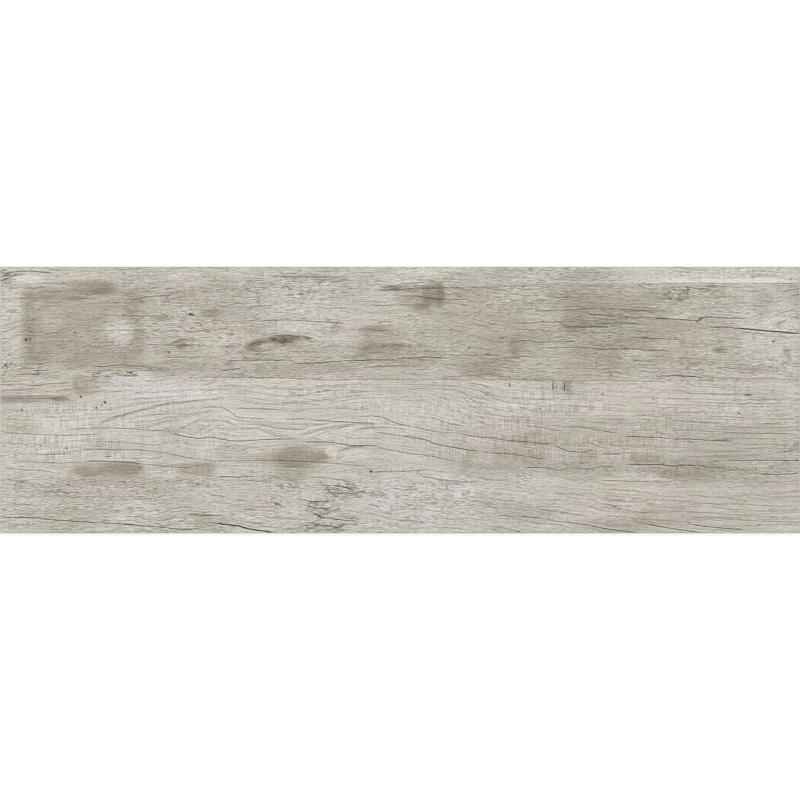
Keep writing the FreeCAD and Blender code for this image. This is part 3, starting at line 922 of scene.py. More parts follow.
    def checks(self) -> tuple[Array, Array]:
        """The nearest check of each place.

        For each check the signed distance down to its line is taken where the place is beside
        it. Width and ink swell from both ends. The check whose edge is nearest is kept.

        Returns:
            Signed distance, distance without its sign and half width, stacked last, and the ink.
        """
        nearest = np.full(self.along.shape, self.NO_CHECK)
        offset = nearest.copy()
        half = np.zeros(self.along.shape)
        inks = np.zeros(self.along.shape)
        for check in CHECKS:
            places, levels = np.array(check.path).T
            width, ink = check.line.value
            line = np.interp(self.along, places, levels)
            lean = np.gradient(line, self.column_at, axis=0)
            gap = (self.down - line) / np.sqrt(1 + lean**2)
            length = places[-1] - places[0]
            share = (self.along - places[0]) / length
            swell = np.minimum(share, 1 - share) * max(self.SWELL_SHARE, length / self.SWELL_RUN)
            swell = np.clip(swell, self.END_WIDTH, 1)
            beside = (share > -self.OVERRUN) & (share < 1 + self.OVERRUN)
            edge = np.where(beside, np.abs(gap) - width * swell / 2, self.NO_CHECK)
            closer = edge < nearest
            nearest = np.where(closer, edge, nearest)
            offset = np.where(closer, gap, offset)
            half = np.where(closer, width * swell / 2, half)
            inks = np.where(closer, ink * swell, inks)
        return np.stack([offset, np.abs(offset), half], axis=-1), inks

    def holes(self) -> tuple[Array, Array]:
        """The nearest hole of each place: its centre and sizes, which the glaze draws from.

        Returns:
            (along, down, distance to the hole's edge) and (half size along, half size down, 0),
            the last a spare place.
        """
        nearest = np.full(self.along.shape, self.NO_HOLE)
        centre = np.full((*self.along.shape, 2), -self.NO_HOLE)
        reach = np.ones((*self.along.shape, 2))
        for hole in HOLES:
            gap = np.hypot(self.along - hole.at[0], self.down - hole.at[1]) - max(hole.reach)
            closer = gap < nearest
            nearest = np.where(closer, gap, nearest)
            centre[closer] = hole.at
            reach[closer] = hole.reach
        spare = np.zeros((*self.along.shape, 1))
        return np.concatenate([centre, nearest[..., None]], -1), np.concatenate([reach, spare], -1)

    def washes(self) -> dict[str, Array]:
        """Every patch added into its attribute, and every band into the shade.

        A patch is 1 at its centre and falls off by the cubic step across the edge of its
        superellipse, whose exponent is the patch's corners. A band is a bell across its line
        less a wider, lower one, which leaves it pale flanks, and it is faded over its ends.

        Returns:
            The wash layers by name, three components each.
        """
        made = {name: np.zeros((*self.along.shape, 3)) for name in WASH_LAYERS}
        for wash, patches in PATCHES.items():
            name, component = wash.value
            made[name][..., component] = sum(self._patch(patch) for patch in patches)
        shade, component = Wash.SHADE.value
        for band in BANDS:
            places, levels = np.array(band.path).T
            below = self.down - np.interp(self.along, places, levels)
            beyond = np.maximum(places[0] - self.along, self.along - places[-1])
            away = (below / band.spread) ** 2
            ring = self.BAND_BELL * np.exp(-away)
            ring -= self.BAND_FLANK * np.exp(-away / self.FLANK_SPREAD)
            ring *= 1 - smooth_step(*self.BAND_ENDS, beyond)
            made[shade][..., component] += band.depth * ring
        return made

    def _patch(self, patch: Patch) -> Array:
        """One patch's amount at each place."""
        turn = math.radians(patch.turn)
        across = self.along - patch.at[0]
        below = self.down - patch.at[1]
        first = (across * math.cos(turn) + below * math.sin(turn)) / patch.reach[0]
        second = (below * math.cos(turn) - across * math.sin(turn)) / patch.reach[1]
        power = patch.corners
        radius = (np.abs(first) ** power + np.abs(second) ** power) ** (1 / power)
        inner = 1 - self.FADE_INWARD * patch.fade
        outer = 1 + self.FADE_OUTWARD * patch.fade
        return patch.amount * (1 - smooth_step(inner, outer, radius))

    def relief(self, mould: Relief, grain: Array, checks: Array, working: Array) -> Array:
        """Depth of the moulded relief below the face plane, in millimetres.

        Checks are V grooves, deeper where they are wider, rings and fibre are shallow waves of
        the grain's level, and all of it dies out near the bevel, so that the arris stays
        straight.

        Args:
            mould: The relief's measures.
            grain: Level across the fibre.
            checks: Signed distance, distance and half width.
            working: Splits, saw marks and rings.

        Returns:
            Depths from 0 down, for every place of the grid.
        """
        groove = np.clip(1 - checks[..., 1] / (checks[..., 2] + mould.lip), 0, 1)
        depth = mould.check * groove * np.clip(checks[..., 2], 0, 1)
        wave = 0.5 + 0.5 * np.sin(grain * (2 * math.pi / mould.ring_gap))
        depth += mould.ring * wave * working[..., 2]
        fibre = lattice_noise(self.along, grain, mould.fibre_cell, seed=11)
        coarse = lattice_noise(self.along, grain, mould.coarse_cell, seed=12)
        depth += mould.fibre * (1 + fibre) + mould.coarse * (1 + coarse)
        length, width, bevel = self.sizes.length, self.sizes.width, self.sizes.bevel
        inset = np.minimum(np.minimum(self.along, length - self.along),
                           np.minimum(self.down, width - self.down)) - bevel
        return depth * smooth_step(0.0, mould.margin, inset)


@dataclass
class FaceGroup:
    """Faces of one finish.

    Attributes:
        faces: Point numbers, one row for each face.
        finish: The finish's number.
        soft: Whether they are shaded smooth.
        corners: Where each corner lies on the picture map.
    """

    faces: Array
    finish: int
    soft: bool
    corners: Array


@dataclass
class Skin:
    """A closed mesh in the making.

    Attributes:
        places: Its points, in millimetres.
        groups: Its faces, group by group.
        attributes: What its points carry, three components each, by name.
    """

    places: Array
    groups: list[FaceGroup]
    attributes: dict[str, Array]

    def build(self, name: str, materials: Iterable[bpy.types.Material]) -> bpy.types.Object:
        """Puts the arrays into a mesh object.

        Args:
            name: The piece's name.
            materials: One for each finish number.

        Returns:
            The object, in the scene.
        """
        groups = self.groups
        faces = [face for group in groups for face in group.faces.tolist()]
        finish = np.concatenate([np.full(len(group.faces), group.finish) for group in groups])
        rounded = np.concatenate([np.full(len(group.faces), group.soft) for group in groups])
        corners = np.concatenate([group.corners.reshape(-1, 2) for group in groups])
        mesh = bpy.data.meshes.new(name)
        mesh.from_pydata((self.places * MM).tolist(), [], faces)
        mesh.polygons.foreach_set("material_index", finish.astype(np.int32))
        mesh.polygons.foreach_set("use_smooth", rounded)
        for title, values in self.attributes.items():
            layer = mesh.attributes.new(title, "FLOAT_VECTOR", "POINT")
            layer.data.foreach_set("vector", values.astype(np.float32).ravel())
        picture_map = mesh.uv_layers.new(name=MAP_NAME)
        picture_map.data.foreach_set("uv", corners.astype(np.float32).ravel())
        for material in materials:
            mesh.materials.append(material)
        mesh.update()
        mesh.validate()
        piece = bpy.data.objects.new(name, mesh)
        bpy.context.scene.collection.objects.link(piece)
        return piece


class Finish(Enum):
    """The plank's three surfaces, numbered as its material slots."""

    FACE = 0
    GROUND = 1
    BACK = 2


@dataclass
class PlankSkin:
    """Builds the plank's closed skin.

    Attributes:
        sizes: The plank's sizes.
        mould: The face's relief.
        columns: Cells of the face sheet along the plank.
        rows: Cells of the face sheet across it, finer, because the grain runs along.
        board_shift: How far apart the boards' figures are read, in millimetres.
    """

    sizes: PlankSizes
    mould: Relief = Relief()
    columns: int = 226
    rows: int = 384
    board_shift: float = 90.0

    def ring_of(self, columns: int, rows: int) -> list[Array]:
        """Numbers of a grid's outer points, side by side.

        Args:
            columns: Points along.
            rows: Points across, the grid being numbered across first.

        Returns:
            Four runs, front, right, back and left, each from corner to corner, anticlockwise
            seen from above.
        """
        number = np.arange(columns * rows).reshape(columns, rows)
        return [number[:, 0], number[-1, :], number[::-1, -1], number[0, ::-1]]

    def sheet_quads(self, columns: int, rows: int) -> Array:
        """Cells of a grid as quads that face up.

        Args:
            columns: Points along.
            rows: Points across.

        Returns:
            Four point numbers for each cell.
        """
        number = np.arange(columns * rows).reshape(columns, rows)
        corners = (number[:-1, :-1], number[1:, :-1], number[1:, 1:], number[:-1, 1:])
        return np.stack(corners, -1).reshape(-1, 4)

    def zip_runs(self, outer: Array, inner: Array, places: Array) -> Array:
        """Fills between two runs of points that share no spacing, like a zip.

        Each step of one run makes a triangle with the point of the other run that it faces:
        the number of that run's step middles passed so far.

        Args:
            outer: Numbers of the outer run.
            inner: Numbers of the inner run, going the same way.
            places: All the points.

        Returns:
            Three point numbers for each triangle.
        """
        def share(run: Array) -> Array:
            """How far along its run each step's middle lies, from 0 to 1."""
            steps = np.linalg.norm(np.diff(places[run], axis=0), axis=1)
            ends = np.concatenate([[0.0], np.cumsum(steps)]) / steps.sum()
            return (ends[1:] + ends[:-1]) / 2

        outer_middle = share(outer)
        inner_middle = share(inner)
        facing_inner = inner[np.searchsorted(inner_middle, outer_middle)]
        facing_outer = outer[np.searchsorted(outer_middle, inner_middle, side="right")]
        first = np.stack([outer[1:], outer[:-1], facing_inner], -1)
        second = np.stack([inner[:-1], inner[1:], facing_outer], -1)
        return np.concatenate([first, second])

    def back_grid(self) -> tuple[Array, Array]:
        """The key field of the back as a height over its grid of mouth and floor lines.

        The height is 0 on ribs and rises to the key's depth on the floors. Every cell is two
        triangles, split towards its key's middle, so that the drafted corners are mitred.

        Returns:
            The points and the triangles, numbered from 0, facing down.
        """
        lines_x = self.sizes.key_lines(self.sizes.length)
        lines_y = self.sizes.key_lines(self.sizes.width)
        floor_x = np.isin(np.arange(lines_x.size) % 4, (1, 2))
        floor_y = np.isin(np.arange(lines_y.size) % 4, (1, 2))
        height = np.where(floor_x[:, None] & floor_y[None, :], self.sizes.key_depth, 0.0)
        x, y = np.meshgrid(lines_x, lines_y, indexing="ij")
        places = np.stack([x, y, height], -1).reshape(-1, 3)
        quads = self.sheet_quads(lines_x.size, lines_y.size)
        cell_x, cell_y = np.meshgrid(
            np.arange(lines_x.size - 1) % 4, np.arange(lines_y.size - 1) % 4, indexing="ij"
        )
        rising = ((cell_x == 0) == (cell_y == 0)).ravel()
        one, two, three, four = quads.T
        along = np.concatenate([np.stack([one, three, two], -1), np.stack([one, four, three], -1)])
        against = np.concatenate([np.stack([one, four, two], -1), np.stack([two, four, three], -1)])
        return places, np.where(np.tile(rising, 2)[:, None], along, against)

    @staticmethod
    def on_map(area: tuple[int, int, int, int], share_x: Array, share_y: Array) -> Array:
        """Places on the picture map, from shares of an area's width and height."""
        left, low, width, height = area
        return np.stack([left + width * share_x, low + height * share_y], -1) / MAP_SIDE

    def edge_corners(self, runs: list[Array], low: float, high: float) -> Array:
        """Where one level of the edge quads lies on the picture map.

        Args:
            runs: The outer runs of points, one for each side.
            low: Share of the edge areas' height at the level's lower line.
            high: The share at its upper line.

        Returns:
            Four map places for each quad.
        """
        sides = []
        for area, run in zip(EDGE_AREAS, runs):
            start = np.arange(len(run) - 1) / (len(run) - 1)
            end = start + 1 / (len(run) - 1)
            share_x = np.stack([start, end, end, start], -1)
            sides.append(self.on_map(area, share_x, np.array([low, low, high, high]) + 0 * share_x))
        return np.concatenate(sides)

    def printed_values(self, printed: FacePrint) -> tuple[Array, dict[str, Array]]:
        """What the face has at each of its points.

        Args:
            printed: The face's print.

        Returns:
            Depth of the relief, and the attributes that the glaze reads, by name.
        """
        grain, slope = printed.grain()
        checks, ink = printed.checks()
        washes = printed.washes()
        hole_at, hole_size = printed.holes()
        hole_size[..., 2] = ink
        tone, warmth = printed.tone()
        depth = printed.relief(self.mould, grain, checks, washes["working"])
        read_at = grain + self.board_shift * printed.board_number()
        return depth, {
            "fibre": np.stack([printed.along * MM, read_at * MM, slope], -1),
            "board": np.stack([tone, warmth, grain / printed.ring_gap()], -1),
            "check": checks,
            "hole_at": hole_at,
            "hole_size": hole_size,
            **washes,
        }

    def build(self) -> Skin:
        """Works out the whole skin: face sheet, bevel, ground edges, rim and key field.

        Returns:
            The skin, ready to be put into a mesh.
        """
        sizes = self.sizes
        printed = FacePrint(sizes, self.columns, self.rows)
        depth, attributes = self.printed_values(printed)
        x = printed.along - sizes.length / 2
        y = sizes.width / 2 - printed.down
        sheet = np.stack([x, y, sizes.thickness - depth], -1).reshape(-1, 3)

        points = (self.columns + 1, self.rows + 1)
        ring_runs = self.ring_of(*points)
        ring = np.concatenate([run[:-1] for run in ring_runs])
        spans = np.array([sizes.length, sizes.width])
        outline = sheet[ring, :2] * (spans / (spans - 2 * sizes.bevel))
        levels = (sizes.thickness - sizes.bevel, 0.0)
        rings = [np.column_stack([outline, np.full(len(outline), level)]) for level in levels]
        back_places, back_faces = self.back_grid()
        places = np.concatenate([sheet, *rings, back_places])

        count = len(ring)
        numbers = [ring] + [len(sheet) + count * k + np.arange(count) for k in range(len(rings))]
        bevel, wall = (
            np.stack([low, np.roll(low, -1), np.roll(high, -1), high], -1)
            for high, low in zip(numbers, numbers[1:])
        )
        back_start = len(sheet) + count * len(rings)
        back_lines = (sizes.key_lines(sizes.length).size, sizes.key_lines(sizes.width).size)
        inner_runs = [run + back_start for run in self.ring_of(*back_lines)]
        ends = np.cumsum([0] + [len(run) - 1 for run in ring_runs])
        bottom = np.append(numbers[-1], numbers[-1][0])
        rim = np.concatenate([
            self.zip_runs(bottom[start:end + 1], inner, places)
            for start, end, inner in zip(ends, ends[1:], inner_runs)
        ])

        def padded(values: Array) -> Array:
            """Grid values for the sheet's points, and zeros for the rest of the skin."""
            flat = np.zeros((len(places), 3))
            flat[:len(sheet)] = values.reshape(-1, 3)
            return flat

        share_x = places[:, 0] / sizes.length + 0.5
        share_y = places[:, 1] / sizes.width + 0.5
        on_face = self.on_map(FACE_AREA, share_x, share_y)
        on_back = self.on_map(BACK_AREA, share_x, share_y)
        sheet_faces = self.sheet_quads(*points)
        back_faces = np.concatenate([rim, back_faces + back_start])
        bevel_at = self.edge_corners(ring_runs, WALL_SHARE, 1.0)
        wall_at = self.edge_corners(ring_runs, 0.0, WALL_SHARE)
        return Skin(
            places,
            [
                FaceGroup(back_faces, Finish.BACK.value, False, on_back[back_faces]),
                FaceGroup(sheet_faces, Finish.FACE.value, True, on_face[sheet_faces]),
                FaceGroup(bevel, Finish.GROUND.value, False, bevel_at),
                FaceGroup(wall, Finish.GROUND.value, False, wall_at),
            ],
            {name: padded(values) for name, values in attributes.items()},
        )


def from_hex(code: str) -> Colour:
    """A screen colour such as "b8b3a9" as the linear values that shaders take."""
    parts = (int(code[at:at + 2], 16) / 255 for at in (0, 2, 4))
    red, green, blue = (
        part / 12.92 if part <= 0.04045 else ((part + 0.055) / 1.055) ** 2.4 for part in parts
    )
    return red, green, blue


Term: TypeAlias = "Signal | float"


class Signal:
    """A shader socket that can be used in sums: each operator adds its Math node."""

    def __init__(self, shop: "NodeShop", socket: bpy.types.NodeSocket) -> None:
        """Wraps a socket of a shop's tree."""
        self.shop = shop
        self.socket = socket

    def _math(self, operation: str, *terms: Term) -> "Signal":
        """One Math node over the terms."""
        inputs = dict(enumerate(terms))
        return self.shop.make("ShaderNodeMath", {"operation": operation}, inputs)

    def __add__(self, other: Term) -> "Signal":
        """self + other."""
        return self._math("ADD", self, other)

    __radd__ = __add__

    def __sub__(self, other: Term) -> "Signal":
        """self - other."""
        return self._math("SUBTRACT", self, other)

    def __rsub__(self, other: float) -> "Signal":
        """other - self."""
        return self._math("SUBTRACT", other, self)

    def __mul__(self, other: Term) -> "Signal":
        """self * other."""
        return self._math("MULTIPLY", self, other)

    __rmul__ = __mul__

    def __truediv__(self, other: Term) -> "Signal":
        """self / other."""
        return self._math("DIVIDE", self, other)

    def __abs__(self) -> "Signal":
        """The value without its sign."""
        return self._math("ABSOLUTE", self)

    def sine(self) -> "Signal":
        """The sine, of radians."""
        return self._math("SINE", self)

    def root(self) -> "Signal":
        """The square root."""
        return self._math("SQRT", self)

    def at_least(self, other: Term) -> "Signal":
        """The greater of two."""
        return self._math("MAXIMUM", self, other)

    def snapped(self, step: float) -> "Signal":
        """The value brought down to a whole number of steps."""
        return self._math("SNAP", self, step)

    def rise(self, low: float, high: float) -> "Signal":
        """The smooth step: 0 up to low, 1 from high; with low over high it falls."""
        settings = {"interpolation_type": "SMOOTHSTEP"}
        inputs = {"Value": self, "From Min": low, "From Max": high}
        return self.shop.make("ShaderNodeMapRange", settings, inputs)

    def held(self) -> "Signal":
        """The value kept between 0 and 1."""
        return self.shop.make("ShaderNodeClamp", {}, {"Value": self})


class NodeShop:
    """Makes the nodes of one material or world."""

    def __init__(self, owner: bpy.types.Material | bpy.types.World) -> None:
        """Starts from the one shader that a new material or world has before its output."""
        owner.use_nodes = True
        self.owner = owner
        self.tree = owner.node_tree
        is_world = isinstance(owner, bpy.types.World)
        self.shader = self.tree.nodes["Background" if is_world else "Principled BSDF"]

    def make(
        self,
        kind: str,
        settings: dict[str, object],
        inputs: dict[str | int, Signal | float | tuple],
        output: str | int = 0,
    ) -> Signal:
        """Adds one node.

        Args:
            kind: Blender's node type.
            settings: Properties, set before anything is plugged in. "stops" is a ramp's list
                of (place, colour).
            inputs: Values or signals by socket name or number.
            output: The socket to hand back.

        Returns:
            The output socket as a signal.
        """
        node = self.tree.nodes.new(kind)
        for name, value in settings.items():
            if name == "stops":
                self._set_stops(node.color_ramp, value)
            else:
                setattr(node, name, value)
        for name, value in inputs.items():
            self.plug(value, node.inputs[name])
        return Signal(self, node.outputs[output])

    def plug(self, value: Signal | float | tuple, socket: bpy.types.NodeSocket) -> None:
        """Links a signal to a socket, or sets a plain value on it."""
        if isinstance(value, Signal):
            self.tree.links.new(value.socket, socket)
        elif isinstance(value, tuple) and socket.type == "RGBA":
            socket.default_value = (*value, 1.0)
        else:
            socket.default_value = value

    @staticmethod
    def _set_stops(ramp: bpy.types.ColorRamp, stops: list[tuple[float, Colour]]) -> None:
        """Gives a ramp its stops."""
        for spare in list(ramp.elements)[1:]:
            ramp.elements.remove(spare)
        for number, (place, colour) in enumerate(stops):
            stop = ramp.elements[0] if number == 0 else ramp.elements.new(place)
            stop.position = place
            stop.color = (*colour, 1.0)

    def attribute(self, name: str) -> tuple[Signal, Signal, Signal]:
        """The three components of a point attribute."""
        return self.split(self.vector(name))

    def vector(self, name: str) -> Signal:
        """A point attribute as a vector."""
        return self.make("ShaderNodeAttribute", {"attribute_name": name}, {}, "Vector")

    def place(self) -> Signal:
        """Object coordinates, in metres."""
        return self.make("ShaderNodeTexCoord", {}, {}, "Object")

    def split(self, vector: Signal) -> tuple[Signal, Signal, Signal]:
        """A vector's components."""
        parted = self.make("ShaderNodeSeparateXYZ", {}, {"Vector": vector}, "X")
        outputs = parted.socket.node.outputs
        return parted, Signal(self, outputs["Y"]), Signal(self, outputs["Z"])

    def stretched(self, vector: Signal, scale: Colour) -> Signal:
        """A vector with each component times its own number."""
        settings = {"operation": "MULTIPLY"}
        return self.make("ShaderNodeVectorMath", settings, {0: vector, 1: scale}, "Vector")

    def moved(self, vector: Signal, step: Term) -> Signal:
        """A vector with a step added to its second component."""
        steps = self.make("ShaderNodeCombineXYZ", {}, {"Y": step})
        settings = {"operation": "ADD"}
        return self.make("ShaderNodeVectorMath", settings, {0: vector, 1: steps}, "Vector")

    def noise(self, vector: Signal, scale: Colour, detail: float, rough: float = 0.5) -> Signal:
        """Noise around 0.5.

        Args:
            vector: Where it is read.
            scale: Waves to the metre, each way.
            detail: Finer layers on top.
            rough: How strong the finer layers are.

        Returns:
            The noise.
        """
        inputs = {"Vector": self.stretched(vector, scale), "Scale": 1.0}
        inputs |= {"Detail": detail, "Roughness": rough}
        return self.make("ShaderNodeTexNoise", {}, inputs, "Fac")

    def mixed(
        self,
        share: Term,
        first: Signal | Colour,
        second: Signal | Colour,
        how: str = "MIX",
    ) -> Signal:
        """Two colours mixed.

        Args:
            share: How much of the second, or of its effect, is taken.
            first: The colour underneath.
            second: The colour laid on.
            how: The mix node's blend type.

        Returns:
            The mixed colour.
        """
        settings = {"data_type": "RGBA", "blend_type": how}
        return self.make("ShaderNodeMix", settings, {0: share, 6: first, 7: second}, 2)

    def ramp(self, value: Signal, stops: list[tuple[float, Colour]]) -> Signal:
        """A value turned into a colour by its stops."""
        return self.make("ShaderNodeValToRGB", {"stops": stops}, {"Fac": value}, "Color")

    def bump(self, height: Signal, distance: float, strength: float) -> Signal:
        """A normal from a height that spans the distance in metres."""
        inputs = {"Height": height, "Distance": distance, "Strength": strength}
        return self.make("ShaderNodeBump", {}, inputs, "Normal")

    def finish(self, **sockets: Signal | float | tuple) -> bpy.types.Material | bpy.types.World:
        """Sets the shader's sockets, named with underscores for spaces, and ends the owner."""
        for name, value in sockets.items():
            self.plug(value, self.shader.inputs[name.replace("_", " ")])
        return self.owner


@dataclass(frozen=True)
class PrintedGlaze:
    """The matt glaze of the face with its inkjet print of weathered boards.

    The print is worked out as a grey level first: the board's own tone, less the washes, plus
    fibre, streaks, saw marks and rings, with checks, splits and holes laid over it. A ramp
    turns the level into the ink's greige, and the washes then lean it to their colours.

    Attributes:
        sizes: The plank's sizes.
        ink: The ramp's stops.
        brown: What a full brown wash multiplies the print by.
        olive: What an olive one does.
        pink: What a pink one does.
        cool: What a cool one does.
        lilac: One of the two faint tints that drift over the whole face.
        moss: The other.
        crispness: How strongly the figure is sharpened across the grain.
        scan_step: One step of the scan that is printed, in metres.
        base: What is taken off the boards' tone to begin with.
        split_dark: How much darker a split is than the wood.
        check_dark: How much darker a check is.
        hole_light: Lightness at the bottom of a hole.
        bump_reach: What the fine bump spans, in metres.
    """

    sizes: PlankSizes
    ink: tuple[tuple[float, str], ...] = (
        (0.10, "241f1a"),
        (0.25, "443c33"),
        (0.40, "6b6359"),
        (0.55, "918a7e"),
        (0.65, "aaa498"),
        (0.72, "bcb7ac"),
        (0.80, "d0ccc3"),
        (0.90, "e6e4de"),
    )
    brown: Colour = (1.035, 0.985, 0.915)
    olive: Colour = (0.985, 1.0, 0.90)
    pink: Colour = (1.035, 0.980, 0.985)
    cool: Colour = (0.965, 0.995, 1.045)
    lilac: Colour = (1.011, 0.991, 1.012)
    moss: Colour = (0.988, 1.004, 0.991)
    crispness: float = 0.45
    scan_step: float = 1.5 * MM
    base: float = 0.004
    split_dark: float = 0.22
    check_dark: float = 0.44
    hole_light: float = 0.22
    bump_reach: float = 0.3 * MM

    def _washes(self, shop: NodeShop, place: Signal, fibre: Signal) -> dict[Wash, Signal]:
        """The washes, each with its edge broken up by noise so that no outline is drawn."""
        cloud = shop.noise(place, (26.0, 40.0, 1.0), 4.0, 0.6)
        drag = shop.noise(fibre, (22.0, 190.0, 0.0), 2.0, 0.6)
        uneven = 0.30 + 0.75 * cloud + 0.65 * drag
        parts = {name: shop.attribute(name) for name in WASH_LAYERS}
        return {wash: parts[wash.value[0]][wash.value[1]] * uneven for wash in Wash}

    def _sheared(self, shop: NodeShop, place: Signal, fibre: Signal, rings: Signal) -> Signal:
        """Places for the short figure: the face sheared to the fibre's slope, and rippled.

        The slope is taken in steps, so that within a step the figure is neither stretched nor
        squeezed. Noise frays the borders between steps, where the short figure starts anew.

        Args:
            shop: The material's nodes.
            place: Object coordinates.
            fibre: The fibre attribute, whose third component is the slope.
            rings: Where the grain runs straight and clean.

        Returns:
            Places in metres.
        """
        x, y, _ = shop.split(place)
        _, _, slope = shop.split(fibre)
        frayed = slope + 0.10 * (shop.noise(place, (120.0, 260.0, 1.0), 1.0) - 0.5)
        stepped = frayed.snapped(0.05)
        ripple = (shop.noise(place, (55.0, 70.0, 1.0), 2.0) - 0.5) * (1.25 - rings).held()
        down = y + stepped * x + 3.4 * MM * ripple
        return shop.make("ShaderNodeCombineXYZ", {}, {"X": x, "Y": down, "Z": stepped})

    def _crisp(self, centre: Signal, above: Signal, below: Signal) -> Signal:
        """A figure sharpened across the grain, as the scan is before it goes to print."""
        return centre * (1 + self.crispness) - (above + below) * (self.crispness / 2)

    def _figure(
        self, shop: NodeShop, places: tuple[Signal, ...], rough: Signal, clean: Signal
    ) -> Signal:
        """The fine figure: threads and flecks of weathered fibre, streaks, hairs and lines.

        Args:
            shop: The material's nodes.
            places: Where the short figure, the wavy figure and the straight lines are read.
            rough: Strength of the weathered fibre.
            clean: Where the straight lines take over.

        Returns:
            What is added to the lightness.
        """
        sheared, waving, straight = places
        thread = shop.noise(sheared, (78.0, 640.0, 20.0), 1.0, 0.6)
        fleck = shop.noise(sheared, (110.0, 720.0, 40.0), 0.0).rise(0.50, 0.72)
        streak = shop.noise(waving, (10.0, 180.0, 0.0), 3.0, 0.65)
        hair = shop.noise(waving, (17.0, 570.0, 0.0), 2.0, 0.5)
        line = shop.noise(straight, (6.0, 520.0, 0.0), 1.0, 0.5)
        figure = rough * (0.27 * (thread - 0.5) - 0.085 * (fleck - 0.2))
        figure += 0.14 * (1 - 0.65 * clean) * (streak - 0.5)
        figure -= 0.13 * (1 - 0.75 * clean) * (hair.rise(0.52, 0.70) - 0.22)
        return figure - 0.07 * clean * (line.rise(0.50, 0.66) - 0.25)

    def _checks(self, shop: NodeShop, fibre: Signal, ink: Signal) -> Signal:
        offset, distance, half = shop.attribute("check")
        jog = shop.noise(fibre, (150.0, 60.0, 0.0), 3.0, 0.65) - 0.5
        thick = shop.noise(fibre, (70.0, 30.0, 0.0), 3.0, 0.7)
        reach = half * (0.65 + 0.7 * thick)
        jogged = offset + 2.2 * jog
        step = self.scan_step / MM
        centre, above, below = (
            ((reach + 0.35 - abs(jogged + shift)) / 0.7).held() for shift in (0.0, -step, step)
        )
        open_here = ink * (0.70 + 0.6 * thick) * distance.rise(5.0, 3.5)
        return self._crisp(centre, above, below) * open_here

    def _splits(self, shop: NodeShop, fibre: Signal, amount: Signal) -> Signal:
        """Short checks: edges and crests of stretched noises, more where the wood is split."""
        crest = shop.noise(fibre, (105.0, 560.0, 20.0), 1.0, 0.5)
        bend = shop.noise(fibre, (90.0, 90.0, 20.0), 2.0) - 0.5
        bent = shop.moved(fibre, bend * (6.0 * MM))
        settings = {"feature": "DISTANCE_TO_EDGE"}
        cells = {"Vector": shop.stretched(bent, (42.0, 200.0, 20.0)), "Scale": 1.0}
        edge = shop.make("ShaderNodeTexVoronoi", settings, cells, "Distance")
        patchy = shop.noise(fibre, (45.0, 120.0, 20.0), 2.0)
        crack = edge.rise(0.10, 0.02) * (patchy + 0.30 * amount).rise(0.68, 0.76)
        return crack.at_least((crest + 0.13 * amount).rise(0.68, 0.76))

    def _holes(self, shop: NodeShop, place: Signal) -> Signal:
        """Worm holes: the nearest hole's oval, its edge roughened."""
        along, down, gap = shop.attribute("hole_at")
        reach_along, reach_down, _ = shop.attribute("hole_size")
        x, y, _ = shop.split(place)
        across = (x * PER_METRE + self.sizes.length / 2 - along) / reach_along
        below = (self.sizes.width / 2 - y * PER_METRE - down) / reach_down
        edge = shop.noise(place, (500.0, 500.0, 1.0), 1.0) - 0.5
        radius = (across * across + below * below).root() + edge
        return radius.rise(1.25, 0.75) * gap.rise(9.0, 7.0)

    def material(self) -> bpy.types.Material:
        """The face's material.

        Returns:
            A procedural material that reads the skin's attributes.
        """
        shop = NodeShop(bpy.data.materials.new("printed_glaze"))
        place = shop.place()
        straight = shop.vector("fibre")
        tone, warmth, turn = shop.attribute("board")
        wash = self._washes(shop, place, straight)
        fibre = self._sheared(shop, place, straight, wash[Wash.RINGS])

        coarse = shop.noise(place, (7.0, 16.0, 1.0), 2.0, 0.5)
        sway = shop.noise(place, (45.0, 45.0, 1.0), 2.0) - 0.5
        waving = shop.moved(straight, sway * (7.0 * MM))
        wander = shop.noise(straight, (9.0, 30.0, 0.0), 2.0)
        pores = shop.noise(place, (560.0, 640.0, 1.0), 0.0)
        saw = shop.noise(place, (640.0, 42.0, 1.0), 0.0)
        tint = shop.noise(place, (13.0, 21.0, 1.0), 2.0, 0.5).rise(0.30, 0.70)
        mottle = shop.noise(place, (9.0, 22.0, 1.0), 3.0, 0.55)
        banding = shop.noise(waving, (5.0, 62.0, 0.0), 1.0)
        ring = (turn * (2 * math.pi) + 7.0 * wander).sine()
        broken = shop.noise(fibre, (75.0, 240.0, 20.0), 1.0)
        dotted = ring.rise(0.15, 0.95) * broken.rise(0.34, 0.60)
        clean = wash[Wash.RINGS]
        rough = (coarse.rise(0.30, 0.70) * 0.85 + 0.72) * (1 - 0.62 * clean)
        rough *= 1 + 0.3 * wash[Wash.SPLITS].held()
        calm = 1 - 0.55 * wash[Wash.BROWN].held()
        figures = [
            self._figure(
                shop, tuple(shop.moved(at, shift) for at in (fibre, waving, straight)), rough, clean
            )
            for shift in (0.0, -self.scan_step, self.scan_step)
        ]
        figure = calm * self._crisp(*figures)

        lightness = tone - self.base + figure + 0.15 * (mottle - 0.5) + 0.07 * (banding - 0.5)
        lightness += (0.13 + 0.12 * clean) * (pores - 0.5)
        lightness += 0.31 * (saw - 0.5) * wash[Wash.SAWN] * coarse.rise(0.30, 0.60)
        lightness -= 0.072 * (dotted - 0.25) * clean
        for kind, change in WASH_LEVELS.items():
            lightness += change * wash[kind]

        _, _, ink = shop.attribute("hole_size")
        checks = self._checks(shop, straight, ink)
        splits = self._splits(shop, fibre, wash[Wash.SPLITS])
        holes = self._holes(shop, place)
        lightness = lightness - self.split_dark * splits - self.check_dark * checks
        lightness = lightness * (1 - holes) + self.hole_light * holes

